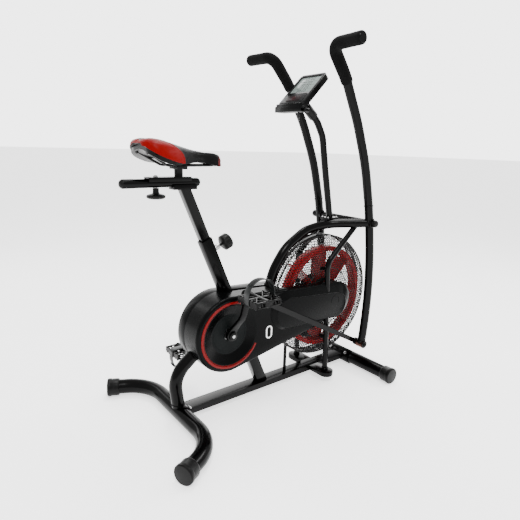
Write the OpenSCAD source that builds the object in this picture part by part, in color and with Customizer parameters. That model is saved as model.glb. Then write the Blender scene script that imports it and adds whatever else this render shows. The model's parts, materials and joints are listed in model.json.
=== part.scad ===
// Air bike: fan-resistance exercise bike with swinging handlebars.
// Frame: +X to the rider's right, +Y forward, +Z up. The origin is on the floor, under the
// middle of the bike. All lengths are in millimetres.

/* [Base] */
// Height of the stabilizer tubes' axes above the floor
foot_z = 30; // [29:1:31]
// Diameter of the two stabilizer tubes
stab_d = 50; // [46:1:52]
// Outer diameter of the stabilizer end caps
cap_d = 62; // [61:1:64]
// Forward position of the front stabilizer
front_y = 452; // [448:1:456]
// Forward position of the rear stabilizer's middle
rear_y = -316; // [-320:1:-312]
// Half length of the front stabilizer, over its caps
front_half = 257; // [250:1:262]
// Width of the main beam
beam_w = 48; // [44:1:50]
// Height of the main beam
beam_h = 22; // [20:1:24]

/* [Seat] */
// Lean of the seat tube from the vertical, in degrees
seat_lean = 23.4; // [23:0.1:24]
// Outer width and depth of the seat tube
seat_tube_w = 30; // [30:1:31]
seat_tube_d = 38; // [38:1:39]
// Height of the seat tube's top edge
seat_tube_top = 585; // [580:1:590]
// Height of the saddle rail's axis
rail_z = 759; // [756:1:762]
// Diameter of the saddle rail
rail_d = 26; // [25:1:27]

/* [Drive] */
// Crank axis
crank_y = -169; // [-171:1:-167]
crank_z = 285; // [284:1:286]
// Crank throw
crank_r = 142; // [140:1:143]
// Fan axis
fan_y = 280; // [279:1:281]
fan_z = 323; // [322:1:324]
// Outer radius of the fan wheel
fan_r = 191; // [187:1:192]
// Outer radius of the fan guard
cage_r = 233; // [232:1:233.4]
// Teeth on the crank's sprocket and on the fan's sprocket
big_teeth = 44; // [44:1:44]
small_teeth = 14; // [14:1:14]

/* [Handles] */
// Swing axis of the handles
pivot_y = 401; // [400:1:402]
pivot_z = 606; // [605:1:607]
// Height of the lower link pivot
low_z = 128; // [126:1:130]
// Sideways position of the swing arms
arm_x = 127; // [127:1:128]
// Diameter of the handle tubes and of their grips
bar_d = 31; // [30:1:32]
grip_d = 38.5; // [38:0.5:39]
// Half width between the grip ends
grip_half = 265; // [262:1:268]

/* [Hidden] */
$fn = 48;
gap = 0.1;             // clearance where pieces meet
wall = 2;              // wall of the round tubes
low_y = 414;           // forward position of the lower link pivot
chain_pitch = 12.7;
big_r = chain_pitch / 2 / sin(180 / big_teeth);
small_r = chain_pitch / 2 / sin(180 / small_teeth);
chain_x = 57;          // inner face of the chain
chain_w = 4.5;
chain_half = 4;        // half of the chain's radial height
drum_r = 125;          // big end of the shroud
tail_y = 300;          // small end of the shroud
tail_z = 316;
tail_r = 69;
skin = 2.5;            // wall of the plastic shells
face_x = 80;           // right face of the shroud's drum
tail_x = 93;           // right face of the shroud's raised tail
left_x = -40;          // left face of the shroud
stay_x = 80;           // sideways position of the fan stays
stay_d = 20;
mast_d = 24;
link_in = 95;          // inner face of the links
link_t = 10;
link_h = 18;
crank_face = 107.5;    // inner face of the crank arm's eye
crank_t = 13;
pedal_in = 124;
pedal_w = 92;
pedal_d = 94;
pedal_h = 24;
axle_r = 6;
// The crank stands square to the line from its axis to the lower pivot, so both links are
// the same length. The angle is measured forward from the vertical.
crank_angle = atan2(crank_z - low_z, low_y - crank_y);
pin_y = crank_r * sin(crank_angle);
pin_z = crank_r * cos(crank_angle);
seat_base = [0, 14.3, 43];                                // seat tube axis on the beam
seat_top_s = (seat_tube_top - seat_base[2]) / cos(seat_lean);
pin_s = 546;                                              // pop pin's place along the tube
knob_y = -376;                                            // saddle clamp knob
stub_y = -305;                                            // saddle stub
wire_z = 807.5;                                           // saddle rails under the clamp
rail_y0 = -480;
rail_y1 = -237;
// The numbers above run forward from the middle of the base. The guard reaches further
// forward than the base, so every piece moves back by this much to centre the bike.
lead = (fan_y + cage_r + rail_y0) / 2;

black = [0.06, 0.06, 0.065];
dark = [0.12, 0.12, 0.13];
red = [0.75, 0.05, 0.06];
steel = [0.7, 0.7, 0.72];

// ---------- helpers: paths and swept tubes ----------
function unit(v) = v / norm(v);
// Points of the round corner of radius r at b, on the way from a to c.
function corner(a, b, c, r, n) =
    let (u = unit(a - b), w = unit(c - b), half = acos(u * w) / 2,
         t = r / tan(half), m = b + unit(u + w) * r / sin(half),
         p = b + u * t - m, q = b + w * t - m, turn = 180 - 2 * half)
    [for (i = [0:n]) m + (p * sin(turn * (1 - i / n)) + q * sin(turn * i / n)) / sin(turn)];
// A polyline whose inner corners are rounded to the radii in r.
function rounded(pts, r, n = 5) = [
    pts[0],
    for (i = [1:len(pts) - 2]) each corner(pts[i - 1], pts[i], pts[i + 1], r[i - 1], n),
    pts[len(pts) - 1]];
function tangent(p, i) = unit(p[min(i + 1, len(p) - 1)] - p[max(i - 1, 0)]);
function side(v, t) = unit(v - t * (v * t));
// One ring of a swept tube: centre, tangent, sideways vector, radius, number of sides.
function ring(c, t, v, r, n) = let (w = cross(t, v))
    [for (k = [0:n - 1]) c + r * (cos(k * 360 / n) * v + sin(k * 360 / n) * w)];
// Tube along path p. The bore stops one point before the end if closed is true.
module swept(p, d, t, up = [1, 0, 0], closed = false, n = 16) {
    frames = [for (i = 0, v = side(up, tangent(p, 0)); i < len(p);
        i = i + 1, v = i < len(p) ? side(v, tangent(p, i)) : v) v];
    m = len(p);
    k = closed ? m - 1 : m;
    outer = [for (i = [0:m - 1]) each ring(p[i], tangent(p, i), frames[i], d / 2, n)];
    inner = [for (i = [0:k - 1]) each ring(p[i], tangent(p, i), frames[i], d / 2 - t, n)];
    o = m * n;
    skin_faces = [for (i = [0:m - 2], j = [0:n - 1])
        [i * n + j, i * n + (j + 1) % n, (i + 1) * n + (j + 1) % n, (i + 1) * n + j]];
    bore_faces = [for (i = [0:k - 2], j = [0:n - 1])
        [o + i * n + j, o + (i + 1) * n + j, o + (i + 1) * n + (j + 1) % n,
         o + i * n + (j + 1) % n]];
    start = [for (j = [0:n - 1]) [j, o + j, o + (j + 1) % n, (j + 1) % n]];
    end = closed
        ? [[for (j = [0:n - 1]) (m - 1) * n + j],
           [for (j = [n - 1:-1:0]) o + (k - 1) * n + j]]
        : [for (j = [0:n - 1]) [(m - 1) * n + j, (m - 1) * n + (j + 1) % n,
            o + (m - 1) * n + (j + 1) % n, o + (m - 1) * n + j]];
    faces = concat(skin_faces, bore_faces, start, end);
    polyhedron(concat(outer, inner), [for (f = faces) [for (k = [len(f) - 1:-1:0]) f[k]]],
        convexity = 8);
}
// Cylinder along X from x0 to x1 at (y, z).
module xcyl(x0, x1, r, y = 0, z = 0) {
    translate([x0, y, z]) rotate([0, 90, 0]) cylinder(h = x1 - x0, r = r);
}
module ycyl(y0, y1, r, x = 0, z = 0) {
    translate([x, y0, z]) rotate([-90, 0, 0]) cylinder(h = y1 - y0, r = r);
}
module zcyl(z0, z1, r, x = 0, y = 0) {
    translate([x, y, z0]) cylinder(h = z1 - z0, r = r);
}
// Flat shape drawn in (y, z) and made thick from x0 to x1.
module slab(x0, x1) {
    translate([x0, 0, 0]) rotate([90, 0, 90]) linear_extrude(x1 - x0) children();
}
module at_crank() { translate([0, crank_y, crank_z]) children(); }
module at_seat_tube() { translate(seat_base) rotate([seat_lean, 0, 0]) children(); }
module mirrored(left) { if (left) mirror([1, 0, 0]) children(); else children(); }
function arc(y, z, r, a, b, n) = [for (i = [0:n]) let (t = a + (b - a) * i / n)
    [y + r * cos(t), z + r * sin(t)]];
// Outline of two arcs and their outer tangents, as of a belt round two pulleys.
module belt(y1, z1, r1, y2, z2, r2) {
    lean = atan2(z2 - z1, y2 - y1);
    open = asin((r1 - r2) / norm([y2 - y1, z2 - z1]));
    polygon(concat(arc(y2, z2, r2, lean - 90 + open, lean + 90 - open, 28),
        arc(y1, z1, r1, lean + 90 - open, lean + 270 + open, 56)));
}
module shroud_outline(inset) {
    belt(crank_y, crank_z, drum_r - inset, tail_y, tail_z, tail_r - inset);
}
module centred() { translate([0, -lead, 0]) children(); }

// ---------- base frame ----------
module main_beam() {
    color(black) centred() difference() {
        union() {
            difference() {
                translate([-beam_w / 2, rear_y, foot_z - beam_h / 2])
                    cube([beam_w, front_y - rear_y, beam_h]);
                translate([-beam_w / 2 + wall, rear_y - 1, foot_z - beam_h / 2 + wall])
                    cube([beam_w - 2 * wall, front_y - rear_y + 2, beam_h - 2 * wall]);
            }
            half_bracket(front_y, -1, 55);
            half_bracket(rear_y, 1, 34);
        }
        xcyl(-70, 70, stab_d / 2 + gap, front_y, foot_z);
        xcyl(-70, 70, stab_d / 2 + gap, rear_y, foot_z);
        frame_bolt_places() zcyl(-1, 60, 4.1);
    }
}
// Half pipe that holds a stabilizer, on the side of it that faces the beam.
module half_bracket(y, dir, half) {
    intersection() {
        xcyl(-half, half, stab_d / 2 + 4, y, foot_z);
        translate([-half, dir < 0 ? y - 40 : y, 0]) cube([2 * half, 40, 70]);
    }
}
// The four bolts lie on lines that run out from the stabilizers' axes.
module frame_bolt_places() {
    for (s = [-1, 1]) {
        translate([s * 40, front_y, foot_z]) rotate([50, 0, 0]) children();
        translate([s * 29, rear_y, foot_z]) rotate([-50, 0, 0]) children();
    }
}
module frame_bolts() {
    color(steel) centred() frame_bolt_places() {
        zcyl(15, 29.2, 4);
        zcyl(29.2, 34, 6.5);
    }
}
rear_end = [273, -450];
rear_corner = [208, rear_y];
rear_path = rounded([[-rear_end[0], rear_end[1], foot_z], [-rear_corner[0], rear_y, foot_z],
    [rear_corner[0], rear_y, foot_z], [rear_end[0], rear_end[1], foot_z]], [140, 140], 6);
rear_turn = atan2(rear_end[1] - rear_corner[1], rear_end[0] - rear_corner[0]);
module rear_stabilizer() {
    short = [cos(rear_turn), sin(rear_turn), 0] * 6;
    path = [for (i = [0:len(rear_path) - 1]) i == 0 ? rear_path[i] - [-short[0], short[1], 0]
        : i == len(rear_path) - 1 ? rear_path[i] - short : rear_path[i]];
    color(black) centred() difference() {
        swept(path, stab_d, wall, up = [0, 0, 1], n = 24);
        frame_bolt_places() zcyl(5, 60, 4.1);
    }
}
module front_stabilizer() {
    color(black) centred() difference() {
        xcyl(-front_half + 6, front_half - 6, stab_d / 2, front_y, foot_z);
        xcyl(-front_half, front_half, stab_d / 2 - wall, front_y, foot_z);
        frame_bolt_places() zcyl(5, 60, 4.1);
    }
}
// Rubber cup on a stabilizer end: the cup opens towards -X, its outer face is at x = 0.
module cap() {
    rotate([0, -90, 0]) rotate_extrude() polygon([[0, 0], [cap_d / 2 - 3, 0],
        [cap_d / 2, 3], [cap_d / 2, 12], [cap_d / 2 - 1.5, 14], [cap_d / 2 - 1.5, 36],
        [cap_d / 2 - 3, 40], [stab_d / 2 + 0.3, 40], [stab_d / 2 + 0.3, 5.8], [0, 5.8]]);
}
module stabilizer_caps() {
    color(dark) centred() difference() {
        for (left = [false, true]) mirrored(left) {
            translate([front_half, front_y, foot_z]) cap();
            translate([rear_end[0], rear_end[1], foot_z]) rotate([0, 0, rear_turn]) cap();
        }
        translate([-400, -600, -20]) cube([800, 1200, 20]);
    }
}
module rear_neck() {
    path = rounded([[0, crank_y, crank_z], [0, -332, 157], [0, rear_y - 2, foot_z]], [90], 8);
    color(black) centred() difference() {
        swept(path, 42, wall, n = 20);
        xcyl(-40, 40, 22 + gap, crank_y, crank_z);
        xcyl(-40, 40, stab_d / 2 + 4 + gap, rear_y, foot_z);
    }
}
module bottom_bracket_shell() {
    color(black) centred() difference() {
        union() {
            xcyl(-34, 34, 22, crank_y, crank_z);
            at_seat_tube() ycyl(-75, -seat_tube_d / 2 - gap, 13, 0, crank_s());
        }
        xcyl(-40, 40, 18, crank_y, crank_z);
    }
}
// Where the seat tube passes closest to the crank axis, along the tube.
function crank_s() = (crank_z - seat_base[2]) * cos(seat_lean)
    - (crank_y - seat_base[1]) * sin(seat_lean);
module crank_bearings() {
    color(steel) centred() for (s = [-1, 1]) difference() {
        xcyl(s * 26 - 7, s * 26 + 7, 17.9, crank_y, crank_z);
        xcyl(-40, 40, 10.05, crank_y, crank_z);
    }
}
module seat_tube() {
    w = seat_tube_w;
    d = seat_tube_d;
    collar = 70;
    color(black) centred() difference() {
        at_seat_tube() difference() {
            translate([-w / 2, -d / 2, -30]) cube([w, d, seat_top_s + 30]);
            translate([-w / 2 + wall, -d / 2 + wall, -40])
                cube([w - 2 * wall, d - 2 * wall, seat_top_s + 40 - collar]);
            translate([-11.4, -15.4, 0]) cube([22.8, 30.8, seat_top_s + 1]);
            ycyl(0, 40, 4.1, 0, pin_s);
        }
        translate([-100, -100, -40]) cube([200, 300, 40 + foot_z + beam_h / 2 + gap]);
    }
}
arch_path = rounded([[0, -88, 283], [0, 15, 322], [0, 60, 452], [0, 110, 522],
    [0, 200, 575], [0, 300, 592], [0, pivot_y, pivot_z]], [55, 160, 160, 120, 120], 3);
module arch_tube() {
    color(black) centred() difference() {
        swept(arch_path, 32, wall);
        at_seat_tube() translate([-30, -60, 0]) cube([60, 60 + seat_tube_d / 2 + gap, 700]);
        xcyl(-40, 40, 12 + gap, pivot_y, pivot_z);
    }
}
stay_points = [[stay_x, pivot_y - 12, pivot_z - 8], [stay_x, 245, 464], [stay_x, 254, 328],
    [stay_x, 268, 44]];
stay_path = rounded(stay_points, [60, 300], 4);
module stay(left) {
    color(black) centred() mirrored(left) difference() {
        union() {
            swept(stay_path, stay_d, wall);
            // Eye plate that carries the fan axle, forward of the stay
            slab(stay_x - 6.5, stay_x + 6.5)
                belt(stay_points[2][1] + 1, fan_z, 10, fan_y, fan_z, 16);
            zcyl(foot_z + beam_h / 2 + gap, 48, 13, stay_x, 267);
        }
        xcyl(60, 100, axle_r + gap, fan_y, fan_z);
        xcyl(60, 100, 12 + gap, pivot_y, pivot_z);
        translate([50, 200, 0]) cube([60, 120, foot_z + beam_h / 2 + gap]);
        xcyl(60, stay_x, 1.5, 262, 180);  // vent hole, as every welded tube has
    }
}
module stay_right() { stay(false); }
module stay_left() { stay(true); }
module cross_plates() {
    color(black) centred() for (left = [false, true]) mirrored(left) intersection() {
        translate([0, 0, foot_z - 7]) linear_extrude(beam_h / 2 + 7)
            union() {
                translate([beam_w / 2 + gap, 238]) square([63, 56]);
                translate([87, 266]) circle(28);
            }
        translate([beam_w / 2 + gap, 200, 0]) cube([120, 120, 100]);
    }
}
module support_rod() {
    y = 131;
    top = fan_z - sqrt(pow(cage_r, 2) - pow(fan_y - y, 2));
    color(black) centred() difference() {
        zcyl(foot_z + beam_h / 2 + gap, top + 6, 6, 0, y);
        xcyl(-20, 20, cage_r + gap, fan_y, fan_z);
    }
}
module pivot_crossbar() {
    color(black) centred() {
        xcyl(-108, 108, 12, pivot_y, pivot_z);
        for (s = [-1, 1]) xcyl(s > 0 ? 107 : -152, s > 0 ? 152 : -107, 8, pivot_y, pivot_z);
    }
}
module pivot_caps() {
    color(dark) centred() for (left = [false, true]) mirrored(left) translate([0, pivot_y, pivot_z])
        rotate([0, 90, 0]) rotate_extrude() polygon([[0, 152 + gap], [8 + gap, 152 + gap],
            [8 + gap, 146], [13, 146], [13, 156], [11, 160], [0, 161]]);
}
module fan_axle() {
    color(steel) centred() {
        xcyl(-92, 88, axle_r, fan_y, fan_z);
        for (x = [[62.5, 73.3], [-73.3, -62.5], [-97, -86.7]])
            translate([x[0], fan_y, fan_z]) rotate([0, 90, 0])
                cylinder(h = x[1] - x[0], r = 10, $fn = 6);
    }
}
module drive_chain() {
    color(steel) centred() slab(chain_x, chain_x + chain_w) difference() {
        belt(crank_y, crank_z, big_r + chain_half, fan_y, fan_z, small_r + chain_half);
        belt(crank_y, crank_z, big_r - chain_half, fan_y, fan_z, small_r - chain_half);
    }
}

// ---------- shroud ----------
// Solid of the shroud's big end, without the room for the fan guard.
module drum_area(inset) {
    difference() {
        shroud_outline(inset);
        translate([fan_y, fan_z]) circle(cage_r + 4 + inset, $fn = 96);
        translate([60 - inset, 0]) square([400, 600]);
    }
}
// Hull between two insets of the outline, for the rounded rim of the right face.
module rim(x0, x1, i0, i1) {
    hull() {
        slab(x0, x0 + 0.5) shroud_outline(i0);
        slab(x1 - 0.5, x1) shroud_outline(i1);
    }
}
// Raised box over the fan's sprocket. Its face leans in from the shroud's outline.
module tail_pod(x0, x1, inset) {
    hull() {
        slab(x0, x0 + 0.5) belt(60, 325, 72 - inset, tail_y + 5, tail_z, tail_r - inset);
        slab(x1 - 0.5, x1) belt(60, 316, 54 - inset, tail_y, 301, 47 - inset);
    }
}
// The volumes that pass through the shroud's walls: seat tube, arch tube, neck and stay.
module shroud_passages() {
    at_seat_tube() translate([-16.5, -20.5, 0]) cube([33, 41, 600]);
    translate([0, 15, 322]) rotate([-atan2(45, 130), 0, 0]) zcyl(0, 130, 18);
    translate([0, crank_y, crank_z]) rotate([90 + atan2(128, 163), 0, 0]) zcyl(40, 190, 23);
    for (i = [1, 2]) let (a = stay_points[i + 1], b = stay_points[i]) translate(a)
        rotate([atan2(a[1] - b[1], b[2] - a[2]), 0, 0]) zcyl(-6, norm(b - a) + 6, stay_d / 2 + 1.5);
}
module shroud_right() {
    color(black) centred() difference() {
        union() {
            slab(0, 62) drum_area(0);
            slab(chain_x - 3, 70) shroud_outline(0);
            rim(69.9, face_x, 0, 9);
            tail_pod(face_x - 3, tail_x, 0);
        }
        slab(-1, 62) drum_area(skin);
        difference() {
            union() {
                slab(chain_x - 4, 70) shroud_outline(skin);
                rim(69.9, face_x - skin, skin, 9 + skin);
            }
            xcyl(64.5, face_x, 100, crank_y, crank_z);
        }
        tail_pod(face_x - 10, tail_x - skin, skin);
        translate([67, crank_y, crank_z]) rotate([0, 90, 0])
            cylinder(h = 13.1, r1 = 68, r2 = 97);
        xcyl(50, 90, 21, crank_y, crank_z);
        shroud_passages();
    }
}
module shroud_left() {
    color(black) centred() difference() {
        slab(left_x, -gap) drum_area(0);
        slab(left_x + skin, 1) drum_area(skin);
        xcyl(-60, 0, 13, crank_y, crank_z);
        shroud_passages();
    }
}
// Part ring, open at the front, from 72 degrees round the rear to 333 degrees.
module shroud_ring() {
    color(red) centred() translate([face_x + gap, crank_y, crank_z]) rotate([90, 0, 90])
        rotate([0, 0, 72]) rotate_extrude(angle = 261, $fn = 96)
            polygon([[103, 0], [111, 0], [110, 2.2], [104, 2.2]]);
}
module badge() {
    color(steel) centred() translate([face_x + gap, -18, 262]) rotate([90, 0, 90])
        linear_extrude(2.5) difference() {
            capsule(13, 20);
            capsule(8, 20);
        }
}
// Upright capsule outline: half width r, distance between its centres h.
module capsule(r, h) {
    for (s = [-1, 1]) translate([0, s * h / 2]) circle(r);
    translate([-r, -h / 2]) square([2 * r, h]);
}

// ---------- fan guard and fan ----------
module guard_face(r0, r1, rings, bars) {
    for (i = [0:rings]) difference() {
        circle(r0 + (r1 - r0) * i / rings + 1.5, $fn = 96);
        circle(r0 + (r1 - r0) * i / rings - 1.5, $fn = 96);
    }
    for (k = [0:bars - 1]) rotate(k * 360 / bars) translate([r0, -1.2])
        square([r1 - r0, 2.4]);
}
module cage(left) {
    color(black) centred() mirrored(left) translate([0, fan_y, fan_z]) {
        rotate([90, 0, 90]) {
            translate([0, 0, 48]) linear_extrude(3) guard_face(38, cage_r - 1.5, 8, 20);
            translate([0, 0, gap / 2]) linear_extrude(5) difference() {
                circle(cage_r, $fn = 96);
                circle(cage_r - 4, $fn = 96);
            }
            for (k = [0:19]) rotate(k * 18) translate([cage_r - 3, -1.2, 4])
                cube([2.4, 2.4, 46]);
        }
        for (p = [[246, 441], [262, 173]]) translate([49, p[0] - fan_y - 6, p[1] - fan_z - 6])
            cube([stay_x - stay_d / 2 - 49.2, 12, 12]);
    }
}
module cage_right() { cage(false); }
module cage_left() { cage(true); }
module fan_hub() {
    color(dark) centred() difference() {
        union() {
            xcyl(-44, 44, 30, fan_y, fan_z);
            xcyl(-62, 62, 18, fan_y, fan_z);
            xcyl(chain_x + 0.5, chain_x + 4, small_r - chain_half - 0.4, fan_y, fan_z);
        }
        xcyl(-70, 70, axle_r + 0.06, fan_y, fan_z);
    }
}
module fan_wheel() {
    blades = 8;
    color(red) centred() translate([0, fan_y, fan_z]) difference() {
        union() {
            rotate([0, 90, 0]) rotate_extrude($fn = 96) polygon([[fan_r - 18, 2],
                [fan_r - 2, 2], [fan_r, 4], [fan_r, 40], [fan_r - 2, 42], [fan_r - 18, 42]]);
            xcyl(30, 34, 72);
            xcyl(-34, -30, 72);
            for (k = [0:blades - 1]) rotate([k * 360 / blades, 0, 0])
                translate([-38, -1.5, 29]) cube([76, 3, fan_r - 41]);
        }
        xcyl(-50, 50, 30 + gap);
    }
}

// ---------- crank and pedals ----------
module crank_spindle() {
    color(steel) centred() {
        xcyl(-90, 90, 10, crank_y, crank_z);
        for (s = [-1, 1]) xcyl(s * 89 - 3, s * 89 + 3, 13, crank_y, crank_z);
    }
}
module drive_sprocket() {
    color(steel) centred() at_crank() difference() {
        xcyl(chain_x + 0.5, chain_x + 4, big_r - chain_half - 0.4);
        xcyl(50, 70, 10 + gap);
        for (k = [0:4]) rotate([k * 72, 0, 0]) xcyl(50, 70, 16, 0, 50);
    }
}
module crank_arm(left) {
    flip = left ? 180 : 0;
    color(dark) centred() mirrored(left) at_crank() rotate([flip - crank_angle, 0, 0]) difference() {
        union() {
            xcyl(68.2, 85.8, 18);
            hull() {
                xcyl(70, 85, 13, 0, 4, $fn = 24);
                xcyl(crank_face, crank_face + crank_t, 10, 0, 64, $fn = 24);
            }
            hull() {
                xcyl(crank_face, crank_face + crank_t, 10, 0, 64, $fn = 24);
                xcyl(crank_face, crank_face + crank_t, 11, 0, crank_r, $fn = 24);
            }
            xcyl(crank_face, crank_face + crank_t, 14, 0, crank_r);
        }
        xcyl(60, 92, 10 + gap);
        xcyl(85.9, 130, 13 + gap);
        xcyl(100, 130, axle_r + gap, 0, crank_r);
    }
}
module crank_arm_right() { crank_arm(false); }
module crank_arm_left() { crank_arm(true); }
module at_pin(left) {
    s = left ? -1 : 1;
    translate([0, crank_y + s * pin_y, crank_z + s * pin_z]) mirrored(left)
        rotate([left ? 180 : 0, 0, 0]) children();
}
module pedal_spindles() {
    color(steel) centred() for (left = [false, true]) at_pin(left) {
        xcyl(crank_face + 1, pedal_in + pedal_w - 6, axle_r);
        xcyl(crank_face + crank_t + gap, crank_face + crank_t + 3, 9);
    }
}
// Cage pedal: a barrel on the spindle, two toothed rails and end bars.
module pedal(left) {
    x0 = pedal_in;
    x1 = pedal_in + pedal_w;
    color(dark) centred() at_pin(left) difference() {
        union() {
            xcyl(x0, x1, 12);
            for (y = [-pedal_d / 2, pedal_d / 2 - 6]) translate([x0, y, -pedal_h / 2])
                cube([pedal_w, 6, pedal_h]);
            for (x = [x0, x0 + pedal_w / 2 - 4, x1 - 8])
                translate([x, -pedal_d / 2, -pedal_h / 2 + 3]) cube([8, pedal_d, pedal_h - 6]);
        }
        xcyl(x0 - 1, x1 - 5, axle_r + 0.06);
        for (y = [-pedal_d / 2, pedal_d / 2], k = [0:5]) for (z = [-pedal_h / 2, pedal_h / 2])
            translate([x0 + 10 + k * 14.4, y, z]) rotate([0, 45, 0])
                cube([5, 14, 5], center = true);
    }
}
module pedal_right() { pedal(false); }
module pedal_left() { pedal(true); }
module strap(left) {
    x0 = pedal_in + pedal_w / 2 - 12;
    r = pedal_d / 2 + 0.4;
    color(black) centred() at_pin(left) slab(x0, x0 + 24) difference() {
        union() {
            translate([0, 17]) circle(r + 2.6, $fn = 64);
            translate([-r - 2.6, -pedal_h / 2 - 3]) square([2 * r + 5.2, pedal_h / 2 + 20]);
        }
        intersection() {
            translate([0, 17]) circle(r, $fn = 64);
            translate([-r, pedal_h / 2]) square([2 * r, 100]);
        }
        translate([-r, -pedal_h / 2 - 0.4]) square([2 * r, pedal_h / 2 + 17.4]);
        translate([-r - 10, -r - 40]) square([2 * r + 20, r + 40 - pedal_h / 2 - 3]);
    }
}
module strap_right() { strap(false); }
module strap_left() { strap(true); }

// ---------- handles and links ----------
arm_path = rounded([[arm_x, pivot_y - 13, pivot_z + 66], [arm_x, pivot_y, pivot_z],
    [arm_x, 440, 340], [arm_x, low_y, low_z]], [250, 1400], 5);
bar_path = rounded([[arm_x, pivot_y - 13.2, pivot_z + 67], [128, 352, 811], [131, 290, 952],
    [136, 215, 1080], [141, 139, 1167], [grip_half - 5, 132, 1168],
    [grip_half, 132, 1168]], [700, 600, 300, 38, 1], 4);
module swing_arm(left) {
    color(black) centred() mirrored(left) {
        difference() {
            union() {
                swept(arm_path, bar_d, wall);
                xcyl(arm_x - 17, arm_x + 17, 15, pivot_y, pivot_z);
                xcyl(arm_x - 18, arm_x + 18, 14.5, low_y, low_z);
            }
            xcyl(100, 150, 8.06, pivot_y, pivot_z);
            xcyl(100, arm_x, 1.5, pivot_y + 4, 300);  // vent hole
        }
        for (z = [20, 46]) translate([arm_x, pivot_y - z * 0.197, pivot_z + z])
            ycyl(12, 21, 6);
        xcyl(92, arm_x - 17, 5, low_y, low_z);
        xcyl(arm_x + 17, arm_x + 24, 8.5, low_y, low_z);
        xcyl(89, 94.8, 8.5, low_y, low_z);
    }
}
module swing_arm_right() { swing_arm(false); }
module swing_arm_left() { swing_arm(true); }
module handlebar(left) {
    color(black) centred() mirrored(left) swept(bar_path, bar_d, wall, closed = true);
}
module handlebar_right() { handlebar(false); }
module handlebar_left() { handlebar(true); }
// The grip follows the bar's own points from about 100 mm below the bend.
grip_path = [for (i = [0:len(bar_path) - 1]) if (bar_path[i][2] > 1062
    && i < len(bar_path) - 6) bar_path[i],
    for (i = [len(bar_path) - 6:len(bar_path) - 1]) bar_path[i]];
module grip(left) {
    color(dark) centred() mirrored(left)
        swept(grip_path, grip_d, (grip_d - bar_d) / 2 - 0.3, up = [0, 0, 1]);
}
module grip_right() { grip(false); }
module grip_left() { grip(true); }
module link(left) {
    s = left ? -1 : 1;
    a = [crank_y + s * pin_y, crank_z + s * pin_z];
    b = [low_y, low_z];
    lean = atan2(b[1] - a[1], b[0] - a[0]);
    length = norm(b - a);
    color(black) centred() mirrored(left) difference() {
        translate([0, a[0], a[1]]) rotate([lean, 0, 0]) {
            translate([link_in + 1, 0, -link_h / 2]) cube([link_t - 2, length, link_h]);
            xcyl(link_in, link_in + link_t, 14);
            xcyl(link_in, link_in + link_t, 14, length);
            xcyl(link_in, crank_face - 0.8, 7);
        }
        xcyl(link_in - 1, link_in + link_t + 1, 5.06, b[0], b[1]);
    }
}
module link_right() { link(false); }
module link_left() { link(true); }

// ---------- seat ----------
module pop_pin_socket() {
    color(steel) centred() at_seat_tube() difference() {
        ycyl(seat_tube_d / 2 + gap, 38, 9, 0, pin_s);
        ycyl(0, 60, 4.2, 0, pin_s);
    }
}
module pop_pin_knob() {
    color(dark) centred() at_seat_tube() {
        ycyl(16, 70, 4, 0, pin_s);
        difference() {
            translate([0, 50, pin_s]) rotate([-90, 0, 0]) rotate_extrude()
                polygon([[3, 0], [18, 0], [25, 5], [25, 25], [22, 29], [3, 29]]);
            for (k = [0:9]) translate([0, 0, pin_s]) rotate([0, k * 36, 0])
                ycyl(48, 81, 2.8, 26.4);
        }
    }
}
module seat_post() {
    low_s = 415;
    color(black) centred() difference() {
        union() {
            at_seat_tube() difference() {
                translate([-11, -15, low_s]) cube([22, 30, 380]);
                translate([-9, -13, low_s - 1]) cube([18, 26, 382]);
                for (k = [0:4]) ycyl(0, 30, 4.2, 0, low_s + 20 + k * 27.75);
            }
            translate([-17, -328, rail_z - 19]) cube([34, 74, 14]);
        }
        ycyl(-500, 0, rail_d / 2 + gap, 0, rail_z);
        translate([-50, -500, rail_z - 1]) cube([100, 500, 100]);
    }
}
module saddle_rail() {
    color(black) centred() difference() {
        ycyl(rail_y0 + 8, rail_y1 - 8, rail_d / 2, 0, rail_z);
        ycyl(rail_y0, rail_y1, rail_d / 2 - wall, 0, rail_z);
        translate([-5, knob_y - 65, rail_z - 30]) cube([10, 95, 60]);
    }
}
module rail_caps() {
    color(dark) centred() for (e = [[rail_y0, 1], [rail_y1, -1]]) translate([0, e[0], rail_z])
        rotate([-90 * e[1], 0, 0]) rotate_extrude() polygon([[0, 0], [rail_d / 4, 0.5],
            [rail_d / 2 - 3, 3], [rail_d / 2, 7.9], [rail_d / 2 - wall - gap, 7.9],
            [rail_d / 2 - wall - gap, 20], [0, 20]]);
}
module saddle_carriage() {
    top = rail_z + rail_d / 2 + 0.2;
    half = rail_d / 2 + 0.3;
    color(black) centred() {
        difference() {
            union() {
                translate([-half - 1, -402, top]) cube([2 * half + 2, 130, 4]);
                for (x = [-half - 3.7, half]) translate([x, -402, top - 9])
                    cube([3.7, 130, 13]);
                zcyl(top + 3.9, 800, 12.5, 0, stub_y);
                hull() {
                    translate([-24, stub_y - 16, 797]) cube([48, 32, 8]);
                    translate([-26, stub_y - 12, 803]) cube([52, 24, 8]);
                }
            }
            zcyl(740, top + 10, 4.2, 0, knob_y);
            for (s = [-1, 1]) ycyl(-400, -200, 3.6, s * 20, wire_z);
        }
    }
}
module clamp_knob() {
    low = rail_z - rail_d / 2 - 0.3;
    color(dark) centred() {
        zcyl(low - 12, rail_z + rail_d / 2 + 4.5, 4, 0, knob_y);
        zcyl(rail_z + rail_d / 2 + 4.4, rail_z + rail_d / 2 + 9, 7, 0, knob_y);
        translate([0, knob_y, low - 30]) rotate_extrude() polygon([[0, 0], [20, 0], [26, 3],
            [27, 8], [24, 13], [10, 15], [8.5, 30], [0, 30]]);
    }
}
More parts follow.
